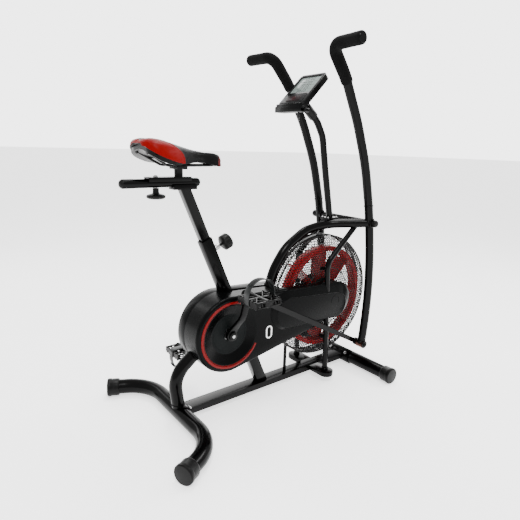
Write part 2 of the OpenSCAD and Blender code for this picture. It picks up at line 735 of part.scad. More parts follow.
module saddle_rails() {
    color(steel) centred() for (s = [-1, 1])
        swept(rounded([[s * 34, -412, 843], [s * 20, -350, wire_z], [s * 20, -262, wire_z],
            [s * 9, -198, wire_z]], [30, 60], 3), 7, 3, n = 10);
}
// Saddle sections, front to rear: [y, half width, crown height, edge height].
saddle_rows = [[-168, 11, 832, 813.4], [-172, 18, 838, 810], [-190, 21, 843, 807.4],
    [-230, 24, 846, 813], [-270, 36, 852, 816], [-310, 58, 860.5, 817.4],
    [-350, 76, 870.5, 823], [-390, 83, 878.6, 834], [-415, 80, 877.2, 846],
    [-428, 66, 873, 856]];
// Height of the pad's hollow lower side in a section, at a distance x from the middle.
function under(r, x) = let (q = 0.6 * r[1])
    r[3] + (x > q ? 9 * (r[1] - x) / (r[1] - q) : 13 - 4 * x / q);
// Mirrors a row of [x, z] points on the right into one ring at y, left to right and back.
function saddle_ring(y, top, low) = concat(
    [for (i = [0:len(top) - 1]) [-top[i][0], y, top[i][1]]],
    [for (i = [len(top) - 2:-1:0]) [top[i][0], y, top[i][1]]],
    [for (i = [0:len(low) - 1]) [low[i][0], y, low[i][1]]],
    [for (i = [len(low) - 2:-1:0]) [-low[i][0], y, low[i][1]]]);
module loft(rings) {
    n = len(rings[0]);
    m = len(rings);
    polyhedron([for (r = rings) each r], concat(
        [for (i = [0:m - 2], j = [0:n - 1]) each [
            [i * n + j, (i + 1) * n + (j + 1) % n, (i + 1) * n + j],
            [i * n + j, i * n + (j + 1) % n, (i + 1) * n + (j + 1) % n]]],
        [[for (j = [n - 1:-1:0]) j], [for (j = [0:n - 1]) (m - 1) * n + j]]), convexity = 6);
}
module saddle_pad() {
    color(black) centred() loft([for (r = saddle_rows) let (w = r[1], low = r[3], h = r[2] - low)
        saddle_ring(r[0], [[w, low], [w, low + h * 0.45], [w * 0.82, low + h * 0.82],
            [w * 0.4, low + h - 1], [0, low + h - 2]], [[w * 0.6, low + 9], [0, low + 13]])]);
}
// Plastic pan under the pad: it follows the pad's lower side with a small gap.
module saddle_base() {
    color(dark) centred() loft([for (i = [1:8]) let (r = saddle_rows[i], w = r[1] - 6, q = r[1] * 0.6)
        saddle_ring(r[0], [for (x = [w, q, 0]) [x, under(r, x) - 2.2]],
            [for (x = [w, q, 0]) [x, under(r, x) - 5]])]);
}

// ---------- console ----------
mast_end = [0, 146, 1022.7];
mast_bend = [0, 232, 955];
mast_path = rounded([[0, 325, 600], [0, 285, 795], [0, 263, 905], mast_bend, mast_end],
    [400, 90, 90], 4);
mast_rise = atan2(mast_end[2] - mast_bend[2], mast_bend[1] - mast_end[1]);
module console_mast() {
    color(black) centred() {
        difference() {
            swept(mast_path, mast_d, wall);
            arch_room();
        }
        // Foot plate round the mast, on top of the arch tube
        difference() {
            translate([-20, 296, 606]) cube([40, 56, 10]);
            translate([0, 325, 600]) rotate([atan2(40, 195), 0, 0])
                zcyl(-20, 60, mast_d / 2 + gap);
            arch_room();
        }
    }
}
module arch_room() {
    translate([0, 300, 592]) rotate([atan2(pivot_z - 592, pivot_y - 300), 0, 0])
        ycyl(-60, 90, 16 + gap);
}
module mast_sleeve() {
    color(dark) centred() translate(mast_end) rotate([-mast_rise, 0, 0]) difference() {
        ycyl(38, 86, mast_d / 2 + 4);
        ycyl(30, 90, mast_d / 2 + 0.2);
    }
}
console_l = 150;
console_w = 122;
// The console's own frame: origin at its lower edge, +Y up the face, +Z out of the face.
module console_place() {
    translate([0, 116, 984]) rotate([45, 0, 0]) children();
}
module rounded_box(w, l, h, r) {
    linear_extrude(h) {
        translate([-w / 2 + r, 0]) square([w - 2 * r, l]);
        translate([-w / 2, r]) square([w, l - 2 * r]);
        for (x = [-w / 2 + r, w / 2 - r], y = [r, l - r]) translate([x, y]) circle(r);
    }
}
module console_body() {
    color(dark) centred() difference() {
        union() {
            console_place() translate([0, 0, 2.6]) rounded_box(console_w - 2, console_l, 16, 14);
            translate([-console_w / 2, 90, 977]) cube([console_w, 46, 26]);
        }
        console_place() {
            translate([0, 6, 12]) rounded_box(console_w - 16, console_l - 12, 30, 10);
            translate([-80, -gap, 18.7]) cube([160, 200, 60]);
        }
        translate([-console_w / 2 - 1, 92, 997]) cube([console_w + 2, 3, 10]);
        translate(mast_end) rotate([-mast_rise, 0, 0])
            ycyl(-gap, 60, mast_d / 2 + gap);
    }
}
module console_bezel() {
    color(steel) centred() console_place() translate([0, 0, 18.8]) difference() {
        rounded_box(console_w, console_l, 5, 14);
        translate([0, 58, -1]) rounded_box(console_w - 26, console_l - 72, 10, 6);
        translate([0, 28, -1]) zcyl(0, 10, 10.2);
    }
}
module console_screen() {
    color([0.5, 0.55, 0.5]) centred() console_place() translate([0, 58.2, 12.2])
        rounded_box(console_w - 26.4, console_l - 72.4, 9, 6);
}
module console_button() {
    color(red) centred() console_place() zcyl(15, 26, 10, 0, 28);
}
module sensor_lead() {
    color(black) centred() swept(rounded([[24, 120, 976.6], [24, 122, 956], [10, 136, 950],
        [0, 147.8, 985.7], [0, 157.4, 997.9]], [8, 10, 12], 2), 4, 1.9, n = 8);
}

main_beam();
rear_stabilizer();
front_stabilizer();
stabilizer_caps();
frame_bolts();
rear_neck();
bottom_bracket_shell();
seat_tube();
arch_tube();
stay_right();
stay_left();
cross_plates();
support_rod();
pivot_crossbar();
pivot_caps();
fan_axle();
crank_bearings();
drive_chain();
shroud_right();
shroud_left();
shroud_ring();
badge();
cage_right();
cage_left();
console_mast();
mast_sleeve();
console_body();
console_bezel();
console_screen();
sensor_lead();
pop_pin_socket();
console_button();
pop_pin_knob();
seat_post();
saddle_rail();
rail_caps();
saddle_carriage();
saddle_rails();
saddle_base();
saddle_pad();
clamp_knob();
crank_spindle();
drive_sprocket();
crank_arm_right();
crank_arm_left();
pedal_spindles();
fan_hub();
fan_wheel();
pedal_right();
pedal_left();
strap_right();
strap_left();
swing_arm_right();
swing_arm_left();
handlebar_right();
handlebar_left();
grip_right();
grip_left();
link_right();
link_left();
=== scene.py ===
"""Looks of the air bike: materials, finished pieces, soft studio light and the camera.

Lengths are in metres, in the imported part's frame: +X right, +Y forward, +Z up."""

import json
import math

import bmesh
import bpy
from mathutils import Matrix, Vector


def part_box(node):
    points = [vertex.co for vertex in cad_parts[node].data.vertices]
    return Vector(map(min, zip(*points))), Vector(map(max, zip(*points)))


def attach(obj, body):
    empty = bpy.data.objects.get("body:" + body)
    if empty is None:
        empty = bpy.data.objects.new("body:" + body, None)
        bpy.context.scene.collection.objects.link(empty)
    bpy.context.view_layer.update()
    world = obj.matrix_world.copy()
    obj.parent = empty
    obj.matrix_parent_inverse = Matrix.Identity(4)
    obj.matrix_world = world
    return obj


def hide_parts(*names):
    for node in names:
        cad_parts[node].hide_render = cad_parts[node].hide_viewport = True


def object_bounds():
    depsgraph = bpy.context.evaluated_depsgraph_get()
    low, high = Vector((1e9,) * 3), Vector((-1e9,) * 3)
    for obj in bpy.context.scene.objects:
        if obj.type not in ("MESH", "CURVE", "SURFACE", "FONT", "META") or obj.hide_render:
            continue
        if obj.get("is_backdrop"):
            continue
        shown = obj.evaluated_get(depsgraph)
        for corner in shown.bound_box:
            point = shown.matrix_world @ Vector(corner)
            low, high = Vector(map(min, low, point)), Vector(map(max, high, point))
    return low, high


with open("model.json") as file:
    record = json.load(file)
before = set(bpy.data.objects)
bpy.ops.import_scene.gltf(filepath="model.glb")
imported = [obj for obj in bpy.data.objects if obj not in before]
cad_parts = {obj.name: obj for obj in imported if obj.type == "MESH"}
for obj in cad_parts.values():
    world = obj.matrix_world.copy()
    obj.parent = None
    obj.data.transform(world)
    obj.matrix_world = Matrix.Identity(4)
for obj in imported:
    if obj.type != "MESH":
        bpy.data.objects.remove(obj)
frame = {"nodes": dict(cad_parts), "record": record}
cad_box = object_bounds()
scene = bpy.context.scene
NODES = frame["nodes"]
RECORD = frame["record"]
BODY_OF = {n: b for b, names in RECORD["behaviour"]["bodies"].items() for n in names}
SLOT_OF = {s["node"]: s["material_slot"] for s in RECORD["subparts"]}
MM = 0.001
# The shapes below are written in millimetres forward of the middle of the base, and the
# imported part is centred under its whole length, so they move back by this much.
LEAD = 16.5


# ---------- camera, light, floor ----------
def make_camera():
    place = Vector((1.182, -0.9455, 0.866))
    azimuth, tilt, roll = math.radians(51.88), math.radians(14.0), math.radians(1.68)
    back = Vector((math.sin(azimuth) * math.cos(tilt), -math.cos(azimuth) * math.cos(tilt),
                   math.sin(tilt)))
    right = Vector((math.cos(azimuth), math.sin(azimuth), 0))
    up = back.cross(right)
    side = right * math.cos(roll) + up * math.sin(roll)
    top = up * math.cos(roll) - right * math.sin(roll)
    data = bpy.data.cameras.new("camera")
    data.sensor_width = 36
    data.lens = 31.55
    data.clip_start = 0.05
    cam = bpy.data.objects.new("camera", data)
    turn = Matrix((side, top, back)).transposed().to_4x4()
    cam.matrix_world = Matrix.Translation(place) @ turn
    scene.collection.objects.link(cam)
    scene.camera = cam


def area_light(name, place, target, size, power):
    data = bpy.data.lights.new(name, "AREA")
    data.shape = "RECTANGLE"
    data.size, data.size_y = size
    data.energy = power
    light = bpy.data.objects.new(name, data)
    light.location = place
    aim = Vector(target) - Vector(place)
    light.rotation_euler = aim.to_track_quat("-Z", "Y").to_euler()
    scene.collection.objects.link(light)


def set_range(node, from_low, from_high, to_low, to_high):
    for name, value in (("From Min", from_low), ("From Max", from_high), ("To Min", to_low),
                        ("To Max", to_high)):
        node.inputs[name].default_value = value


def make_studio():
    world = bpy.data.worlds.new("studio")
    world.use_nodes = True
    tree = world.node_tree
    sky = tree.nodes["Background"]
    sky.inputs["Color"].default_value = (1, 1, 1, 1)
    # A bright paper backdrop on the front left, dimmer walls all round
    coords = tree.nodes.new("ShaderNodeTexCoord")
    facing = tree.nodes.new("ShaderNodeVectorMath")
    facing.operation = "DOT_PRODUCT"
    facing.inputs[1].default_value = (-0.787, 0.617, 0.0)
    level = tree.nodes.new("ShaderNodeMapRange")
    tree.links.new(coords.outputs["Generated"], facing.inputs[0])
    tree.links.new(facing.outputs["Value"], level.inputs["Value"])
    edge, middle, wall_light, backdrop_light = 0.70, 0.80, 1.3, 4.2
    set_range(level, edge, middle, wall_light, backdrop_light)
    tree.links.new(level.outputs["Result"], sky.inputs["Strength"])
    scene.world = world
    area_light("key", (1.4, -1.0, 3.0), (0, 0, 0.4), (1.0, 1.0), 70)
    area_light("top", (-0.5, 0.4, 3.2), (0, 0, 0), (0.8, 1.4), 70)
    area_light("rear", (0.6, 2.6, 2.2), (0, 0, 0.6), (1.6, 0.5), 40)
    area_light("left_strip", (-2.2, -0.9, 1.6), (0, 0, 0.6), (0.3, 2.0), 12)
    floor_mesh = bpy.data.meshes.new("floor")
    r = 60.0
    floor_mesh.from_pydata([(-r, -r, 0), (r, -r, 0), (r, r, 0), (-r, r, 0)], [], [(0, 1, 2, 3)])
    floor = bpy.data.objects.new("floor", floor_mesh)
    scene.collection.objects.link(floor)
    floor.data.materials.append(plain_floor())
    floor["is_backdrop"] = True


# ---------- materials ----------
class Nodes:
    """A small helper that builds a node material a few lines at a time."""

    def __init__(self, name):
        self.mat = bpy.data.materials.new(name)
        self.mat.use_nodes = True
        self.tree = self.mat.node_tree
        self.bsdf = self.tree.nodes["Principled BSDF"]
        self.coords = self.tree.nodes.new("ShaderNodeTexCoord").outputs["Object"]

    def add(self, kind, **values):
        node = self.tree.nodes.new(kind)
        for key, value in values.items():
            if key in node.inputs:
                node.inputs[key].default_value = value
            else:
                setattr(node, key, value)
        return node

    def link(self, a, b):
        self.tree.links.new(a, b)

    def noise(self, scale, detail=3.0):
        node = self.add("ShaderNodeTexNoise", Scale=scale, Detail=detail)
        self.link(self.coords, node.inputs["Vector"])
        return node.outputs["Fac"]

    def cells(self, scale):
        node = self.add("ShaderNodeTexVoronoi", Scale=scale)
        self.link(self.coords, node.inputs["Vector"])
        return node.outputs["Distance"]

    def ramp(self, factor, low, high):
        """Spreads the middle of a noise over the range from low to high."""
        node = self.add("ShaderNodeMapRange")
        set_range(node, 0.35, 0.65, low, high)
        self.link(factor, node.inputs["Value"])
        return node.outputs["Result"]

    def mix(self, factor, a, b):
        node = self.add("ShaderNodeMix", data_type="RGBA")
        self.link(factor, node.inputs["Factor"])
        node.inputs[6].default_value = (*a, 1)
        node.inputs[7].default_value = (*b, 1)
        return node.outputs[2]

    def bump(self, height, strength, distance, under=None):
        node = self.add("ShaderNodeBump", Strength=strength, Distance=distance)
        self.link(height, node.inputs["Height"])
        if under is not None:
            self.link(under, node.inputs["Normal"])
        return node.outputs["Normal"]


def finish_of(name, base, dark, rough, metal=0.0, grain=900.0, height=0.00004, sheen=0.0,
              cells=None, gloss=0.22):
    """A surface with slight colour and roughness drift and a fine grain."""
    m = Nodes(name)
    m.link(m.mix(m.ramp(m.noise(5.0, 3.0), 0.0, 1.0), dark, base),
           m.bsdf.inputs["Base Color"])
    m.link(m.ramp(m.noise(24.0, 4.0), rough * 0.9, min(1.0, rough * 1.12)),
           m.bsdf.inputs["Roughness"])
    m.bsdf.inputs["Metallic"].default_value = metal
    m.bsdf.inputs["Specular IOR Level"].default_value = gloss
    m.bsdf.inputs["Sheen Weight"].default_value = sheen
    normal = m.bump(m.noise(grain, 2.0), 0.06, height)
    if cells is not None:
        normal = m.bump(m.cells(cells[0]), cells[1], cells[2], normal)
    m.link(normal, m.bsdf.inputs["Normal"])
    return m.mat


def grey(v, tint=0.0):
    return (v, v * (1 + tint), v * (1 + tint))


def plain_floor():
    m = Nodes("floor_pale")
    m.link(m.mix(m.ramp(m.noise(3.0), 0.0, 1.0), grey(0.96), grey(0.98)),
           m.bsdf.inputs["Base Color"])
    m.bsdf.inputs["Roughness"].default_value = 0.9
    m.bsdf.inputs["Specular IOR Level"].default_value = 0.1
    m.bsdf.inputs["Emission Color"].default_value = (1, 1, 1, 1)
    m.bsdf.inputs["Emission Strength"].default_value = 1.3
    return m.mat


def make_materials():
    """One material for each of the record's slots, plus the extra finishes of new pieces."""
    table = {
        "frame_paint": (grey(0.0008), grey(0.0005), 0.17, dict(grain=420.0, gloss=0.085)),
        "cap_plastic": (grey(0.003), grey(0.002), 0.36, dict(grain=1500.0, gloss=0.1)),
        "shroud_plastic": (grey(0.0009, 0.2), grey(0.0007, 0.2), 0.26,
                           dict(grain=2200.0, height=0.000006, gloss=0.05)),
        "disc_plastic": (grey(0.0034, 0.3), grey(0.0028, 0.3), 0.5,
                         dict(grain=1800.0, gloss=0.05)),
        "red_trim": ((0.13, 0.0003, 0.0008), (0.11, 0.0002, 0.0006), 0.24,
                     dict(height=0.00002, gloss=0.12)),
        "fan_red": ((0.34, 0.0004, 0.004), (0.27, 0.0003, 0.003), 0.25,
                    dict(gloss=0.12)),
        "hub_grey": (grey(0.004), grey(0.003), 0.42, dict(gloss=0.1)),
        "guard_wire": (grey(0.003), grey(0.002), 0.25, dict(height=0.00002, gloss=0.16)),
        "rim_wire": (grey(0.002), grey(0.0014), 0.2, dict(gloss=0.2)),
        "dark_steel": (grey(0.002), grey(0.0015), 0.2, dict(height=0.00003, gloss=0.2)),
        "zinc_steel": (grey(0.42), grey(0.33), 0.25, dict(metal=1.0, height=0.00003)),
        "bare_steel": (grey(0.16), grey(0.10), 0.36, dict(metal=1.0)),
        "crank_black": (grey(0.0012), grey(0.0009), 0.22, dict(gloss=0.1)),
        "pedal_plastic": (grey(0.0015), grey(0.001), 0.3, dict(grain=1800.0, gloss=0.1)),
        "strap_rubber": (grey(0.006, 0.2), grey(0.004, 0.2), 0.36,
                         dict(cells=(900.0, 0.1, 0.00005), gloss=0.25)),
        "foam_grip": (grey(0.0018), grey(0.0012), 0.8, dict(grain=1100.0, height=0.00012,
                      sheen=0.006, cells=(1700.0, 0.15, 0.00008), gloss=0.06)),
        "saddle_leather": (grey(0.0014), grey(0.001), 0.34, dict(
            grain=1600.0, height=0.00006, cells=(800.0, 0.12, 0.00006), gloss=0.07)),
        "saddle_red": ((0.15, 0.0003, 0.0006), (0.12, 0.0002, 0.0005), 0.42, dict(
            grain=1600.0, height=0.00006, cells=(800.0, 0.12, 0.00006), gloss=0.05)),
        "nose_red": ((0.09, 0.0006, 0.001), (0.06, 0.0004, 0.0007), 0.36,
                     dict(gloss=0.12)),
        "badge_silver": (grey(0.72), grey(0.62), 0.18, dict(metal=1.0, height=0.00001)),
        "console_black": (grey(0.001), grey(0.0008), 0.25, dict(grain=2000.0, gloss=0.08)),
        "console_silver": (grey(0.003), grey(0.002), 0.22, dict(height=0.00001, gloss=0.12)),
        "keypad_black": (grey(0.0015), grey(0.001), 0.3, dict(gloss=0.08)),
        "keypad_red": ((0.009, 0.003, 0.0035), (0.007, 0.0025, 0.003), 0.4, dict(gloss=0.06)),
        "screen_grey": ((0.16, 0.19, 0.18), (0.13, 0.155, 0.145), 0.12,
                        dict(height=0.00001, gloss=0.3)),
        "button_red": ((0.02, 0.003, 0.0035), (0.016, 0.0025, 0.003), 0.3, dict(gloss=0.1)),
        "pivot_bronze": ((0.16, 0.075, 0.06), (0.05, 0.025, 0.02), 0.3, dict(metal=1.0)),
        "lead_black": (grey(0.002), grey(0.0015), 0.4, {}),
    }
    return {name: finish_of(name, base, dark, rough, **more)
            for name, (base, dark, rough, more) in table.items()}


# ---------- mesh helpers ----------
def new_object(name, mesh, materials, body, slot, *replaced):
    piece = bpy.data.objects.new(name, mesh)
    scene.collection.objects.link(piece)
    if piece.data.materials:
        piece.data.materials.clear()
    for material in materials:
        piece.data.materials.append(material)
    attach(piece, body)
    if replaced:
        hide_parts(*replaced)
    return piece


def apply_modifiers(piece):
    bpy.context.view_layer.update()
    graph = bpy.context.evaluated_depsgraph_get()
    mesh = bpy.data.meshes.new_from_object(piece.evaluated_get(graph))
    piece.modifiers.clear()
    piece.data = mesh


def smooth(mesh, degrees):
    """Smooth shading that stays sharp at edges bent by more than the angle."""
    bm = bmesh.new()
    bm.from_mesh(mesh)
    limit = math.radians(degrees)
    for face in bm.faces:
        face.smooth = True
    for edge in bm.edges:
        sharp = len(edge.link_faces) == 2 and edge.calc_face_angle(0.0) > limit
        edge.smooth = not sharp
    bm.to_mesh(mesh)
    bm.free()


def finished_copy(node, bevel, angle=38.0, segments=2):
    """A copy of a CAD node with edges rounded by a bevel in mm, which stands for the node."""
    mesh = NODES[node].data.copy()
    bm = bmesh.new()
    bm.from_mesh(mesh)
    bmesh.ops.remove_doubles(bm, verts=bm.verts, dist=0.00001)
    bmesh.ops.dissolve_limit(bm, angle_limit=math.radians(0.4), verts=bm.verts,
                             edges=bm.edges)
    bm.to_mesh(mesh)
    bm.free()
    piece = new_object(node + "_finished", mesh, [MATERIALS[SLOT_OF[node]]], BODY_OF[node],
                       SLOT_OF[node], node)
    mod = piece.modifiers.new("bevel", "BEVEL")
    mod.width = bevel * MM
    mod.segments = segments
    mod.limit_method = "ANGLE"
    mod.angle_limit = math.radians(angle)
    mod.use_clamp_overlap = True
    apply_modifiers(piece)
    smooth(piece.data, angle)


# ---------- shapes built in millimetres ----------
def vec(*v):
    return Vector(v)


def rounded_path(points, radii, steps=10):
    """A polyline whose inner corners are rounded to the radii."""
    points = [Vector(p) for p in points]
    out = [points[0]]
    for i in range(1, len(points) - 1):
        a, b, c, r = points[i - 1], points[i], points[i + 1], radii[i - 1]
        u, w = (a - b).normalized(), (c - b).normalized()
        half = math.acos(max(-1.0, min(1.0, u.dot(w)))) / 2
        if half > math.pi / 2 - 0.001:
            out.append(b)
            continue
        mid = b + (u + w).normalized() * r / math.sin(half)
        start, stop = b + u * r / math.tan(half) - mid, b + w * r / math.tan(half) - mid
        turn = math.pi - 2 * half
        for k in range(steps + 1):
            t = k / steps
            out.append(mid + (start * math.sin(turn * (1 - t)) + stop * math.sin(turn * t))
                       / math.sin(turn))
    out.append(points[-1])
    return out


def ring_points(centre, side, up, shape):
    return [centre + side * a + up * b for a, b in shape]


def round_shape(r, sides=36):
    return [(r * math.cos(2 * math.pi * k / sides), r * math.sin(2 * math.pi * k / sides))
            for k in range(sides)]


def soft_rect(w, h, r, steps=5):
    """Outline of a w by h rectangle with corners of radius r."""
    out = []
    for cx, cy, a0 in ((w / 2 - r, h / 2 - r, 0), (r - w / 2, h / 2 - r, 90),
                       (r - w / 2, r - h / 2, 180), (w / 2 - r, r - h / 2, 270)):
        for k in range(steps + 1):
            a = math.radians(a0 + 90 * k / steps)
            out.append((cx + r * math.cos(a), cy + r * math.sin(a)))
    return out


def at_x(x, pairs):
    return [vec(x, y, z) for y, z in pairs]


def arc_points(cy, cz, r, a, b, n):
    return [(cy + r * math.cos(math.radians(a + (b - a) * k / n)),
             cz + r * math.sin(math.radians(a + (b - a) * k / n))) for k in range(n + 1)]


def belt_points(y1, z1, r1, y2, z2, r2, n1=96, n2=56):
    """Outline of two arcs and their outer tangents, as of a belt round two pulleys."""
    lean = math.degrees(math.atan2(z2 - z1, y2 - y1))
    part = math.degrees(math.asin((r1 - r2) / math.hypot(y2 - y1, z2 - z1)))
    return (arc_points(y2, z2, r2, lean - 90 + part, lean + 90 - part, n2)
            + arc_points(y1, z1, r1, lean + 90 - part, lean + 270 + part, n1))


class Shape:
    """One piece's mesh, added to part by part."""

    def __init__(self):
        self.bm = bmesh.new()

    def faces_between(self, a, b, mat):
        n = max(len(a), len(b))
        for k in range(n):
            j = (k + 1) % n
            quad = [a[k % len(a)], a[j % len(a)], b[j % len(b)], b[k % len(b)]]
            quad = [v for i, v in enumerate(quad) if v not in quad[:i]]
            if len(quad) > 2:
                self.bm.faces.new(quad).material_index = mat

    def loft(self, rings, caps=(True, True), mat=0, loop=False):
        rows = [[self.bm.verts.new(p) for p in ring] for ring in rings]
        for a, b in zip(rows, rows[1:] + (rows[:1] if loop else [])):
            self.faces_between(a, b, mat)
        for cap, row in zip(caps, (rows[0], rows[-1])):
            if cap and not loop and len(row) > 2:
                self.bm.faces.new(row).material_index = mat
        return rows

    def tube(self, path, radius, sides=36, shape=None, up=(1, 0, 0), edge=0.8):
        """Sweeps a round or given outline along a path; the ends have a small bevel."""
        path = [Vector(p) for p in path]
        up = Vector(up)
        rings = []
        for i, p in enumerate(path):
            t = (path[min(i + 1, len(path) - 1)] - path[max(i - 1, 0)]).normalized()
            up = (up - t * up.dot(t)).normalized()
            over = t.cross(up)
            outline = shape or round_shape(radius, sides)
            if i in (0, len(path) - 1):
                size = max(abs(a) for a, _ in outline)
                inner = [(a * (1 - edge / size), b * (1 - edge / size)) for a, b in outline]
                inwards = t * edge * (1 if i == 0 else -1)
                pair = [ring_points(p, up, over, inner),
                        ring_points(p + inwards, up, over, outline)]
                rings += pair if i == 0 else pair[::-1]
            else:
                rings.append(ring_points(p, up, over, outline))
        self.loft(rings)

    def hoop(self, path, shape, mat=0):
        """Sweeps an outline round a closed path that lies across the bike's x axis."""
        side = vec(1, 0, 0)
        rings = []
        for k in range(len(path)):
            t = (path[(k + 1) % len(path)] - path[k - 1]).normalized()
            rings.append(ring_points(path[k], side, t.cross(side), shape))
        self.loft(rings, mat=mat, loop=True)

    def lathe(self, origin, axis, profile, sides=64, mat=0, loop=False):
        """Turns a profile of (distance along the axis, radius) round the axis."""
        origin, axis = Vector(origin), Vector(axis).normalized()
        side = axis.orthogonal().normalized()
        over = axis.cross(side)
        rings = []
        for t, r in profile:
            centre = origin + axis * t
            rings.append([centre] if r < 1e-6 else
                         ring_points(centre, side, over, round_shape(r, sides)))
        self.loft(rings, (True, True), mat, loop)

    def box(self, lo, hi, bevel, mat=0):
        size = [b - a for a, b in zip(lo, hi)]
        centre = [(a + b) / 2 for a, b in zip(lo, hi)]
        turn = Matrix.Translation(centre) @ Matrix.Diagonal((*size, 1))
        made = bmesh.ops.create_cube(self.bm, size=1, matrix=turn)["verts"]
        edges = {e for v in made for e in v.link_edges}
        faces = {f for v in made for f in v.link_faces}
        out = bmesh.ops.bevel(self.bm, geom=list(edges), offset=min(bevel, min(size) * 0.45),
                              segments=2, affect="EDGES", profile=0.5, clamp_overlap=True)
        for face in {f for f in faces if f.is_valid} | set(out["faces"]):
            face.material_index = mat

    def prism(self, outline, place, depth, bevel):
        """A flat outline made thick; place maps (a, b, t) to the model's frame."""
        def ring(t, inset):
            out = []
            for k in range(len(outline)):
                (ax, ay), (bx, by) = outline[k - 1], outline[k]
                cx, cy = outline[(k + 1) % len(outline)]
                e1 = Vector((bx - ax, by - ay)).normalized()
                e2 = Vector((cx - bx, cy - by)).normalized()
                m = Vector((-(e1.y + e2.y), e1.x + e2.x))
                m = m / max(0.35, m.length_squared / 2)
                out.append(place(bx + m.x * inset, by + m.y * inset, t))
            return out
        area = sum(outline[k - 1][0] * outline[k][1] - outline[k][0] * outline[k - 1][1]
                   for k in range(len(outline)))
        if area < 0:
            outline = outline[::-1]
        rings = [ring(0, bevel), ring(bevel, 0), ring(depth - bevel, 0), ring(depth, bevel)]
        self.loft(rings)

    def fill_between(self, outer, inner):
        """Flat face between an outer row of points and the hole inside it."""
        edges = []
        for row in (outer, inner):
            for k in range(len(row)):
                pair = (row[k - 1], row[k])
                edges.append(self.bm.edges.get(pair) or self.bm.edges.new(pair))
        bmesh.ops.triangle_fill(self.bm, edges=edges, use_beauty=True)

    def finish(self, name, materials, body, *replaced, slot=None, angle=32.0, normals=True):
        """Makes the piece; the slot argument is passed on but not used."""
        if normals:
            bmesh.ops.recalc_face_normals(self.bm, faces=self.bm.faces)
        bmesh.ops.translate(self.bm, vec=(0, -LEAD, 0), verts=self.bm.verts)
        bmesh.ops.scale(self.bm, vec=(MM, MM, MM), verts=self.bm.verts)
        mesh = bpy.data.meshes.new(name)
        self.bm.to_mesh(mesh)
        self.bm.free()
        piece = new_object(name, mesh, [MATERIALS[m] for m in materials], body,
                           slot or materials[0], *replaced)
        smooth(piece.data, angle)
        return piece


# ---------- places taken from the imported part, in millimetres ----------
def box_mm(node):
    return [Vector(c) / MM + Vector((0, LEAD, 0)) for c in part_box(node)]


def axis_mm(joint):
    row = next(j for j in RECORD["behaviour"]["joints"] if j["name"] == joint)
    return Vector(row["pos_m"]) / MM + Vector((0, LEAD, 0))


CRANK, FAN = axis_mm("crank_spin"), axis_mm("fan_spin")
PIVOT = axis_mm("handle_r_swing")
LOW = axis_mm("link_r_pivot")
CAGE_R = (box_mm("cage_right")[1].z - box_mm("cage_right")[0].z) / 2
FACE = 80                                                # right shell's outer face
DRUM, TAIL = (CRANK.y, CRANK.z, 125), (300, 316, 69)     # ends of the shroud's outline
POD_LOW, POD_HIGH = ((60, 325, 72), (305, 316, 69)), ((60, 316, 54), (300, 301, 47))
SIDES = ((1, "right", "r"), (-1, "left", "l"))


def circle_ring(x, centre, r, n=96):
    return [vec(x, centre.y + r * math.cos(2 * math.pi * k / n),
                centre.z + r * math.sin(2 * math.pi * k / n)) for k in range(n)]


def flipped(points, sign):
    return [vec(p[0] * sign, p[1], p[2]) for p in points]


def outwards(x, at, sign):
    """Start and direction of a line that runs out along x through a point."""
    return (sign * x, at.y, at.z), (sign, 0, 0)


def weld(shape, centre, axis, r, size=2.2):
    """An uneven bead round a joint between two tubes."""
    steps, ripples, ripple = 72, 26, 0.16
    axis = Vector(axis).normalized()
    side = axis.orthogonal().normalized()
    over = axis.cross(side)
    rings = []
    for k in range(steps):
        a = 2 * math.pi * k / steps
        out = side * math.cos(a) + over * math.sin(a)
        w = size * (1 + ripple * math.sin(a * ripples))
        mid = Vector(centre) + out * r
        rings.append([mid + out * w * math.cos(b) + axis * w * math.sin(b)
                      for b in (math.radians(d) for d in range(0, 360, 45))])
    shape.loft(rings, loop=True)


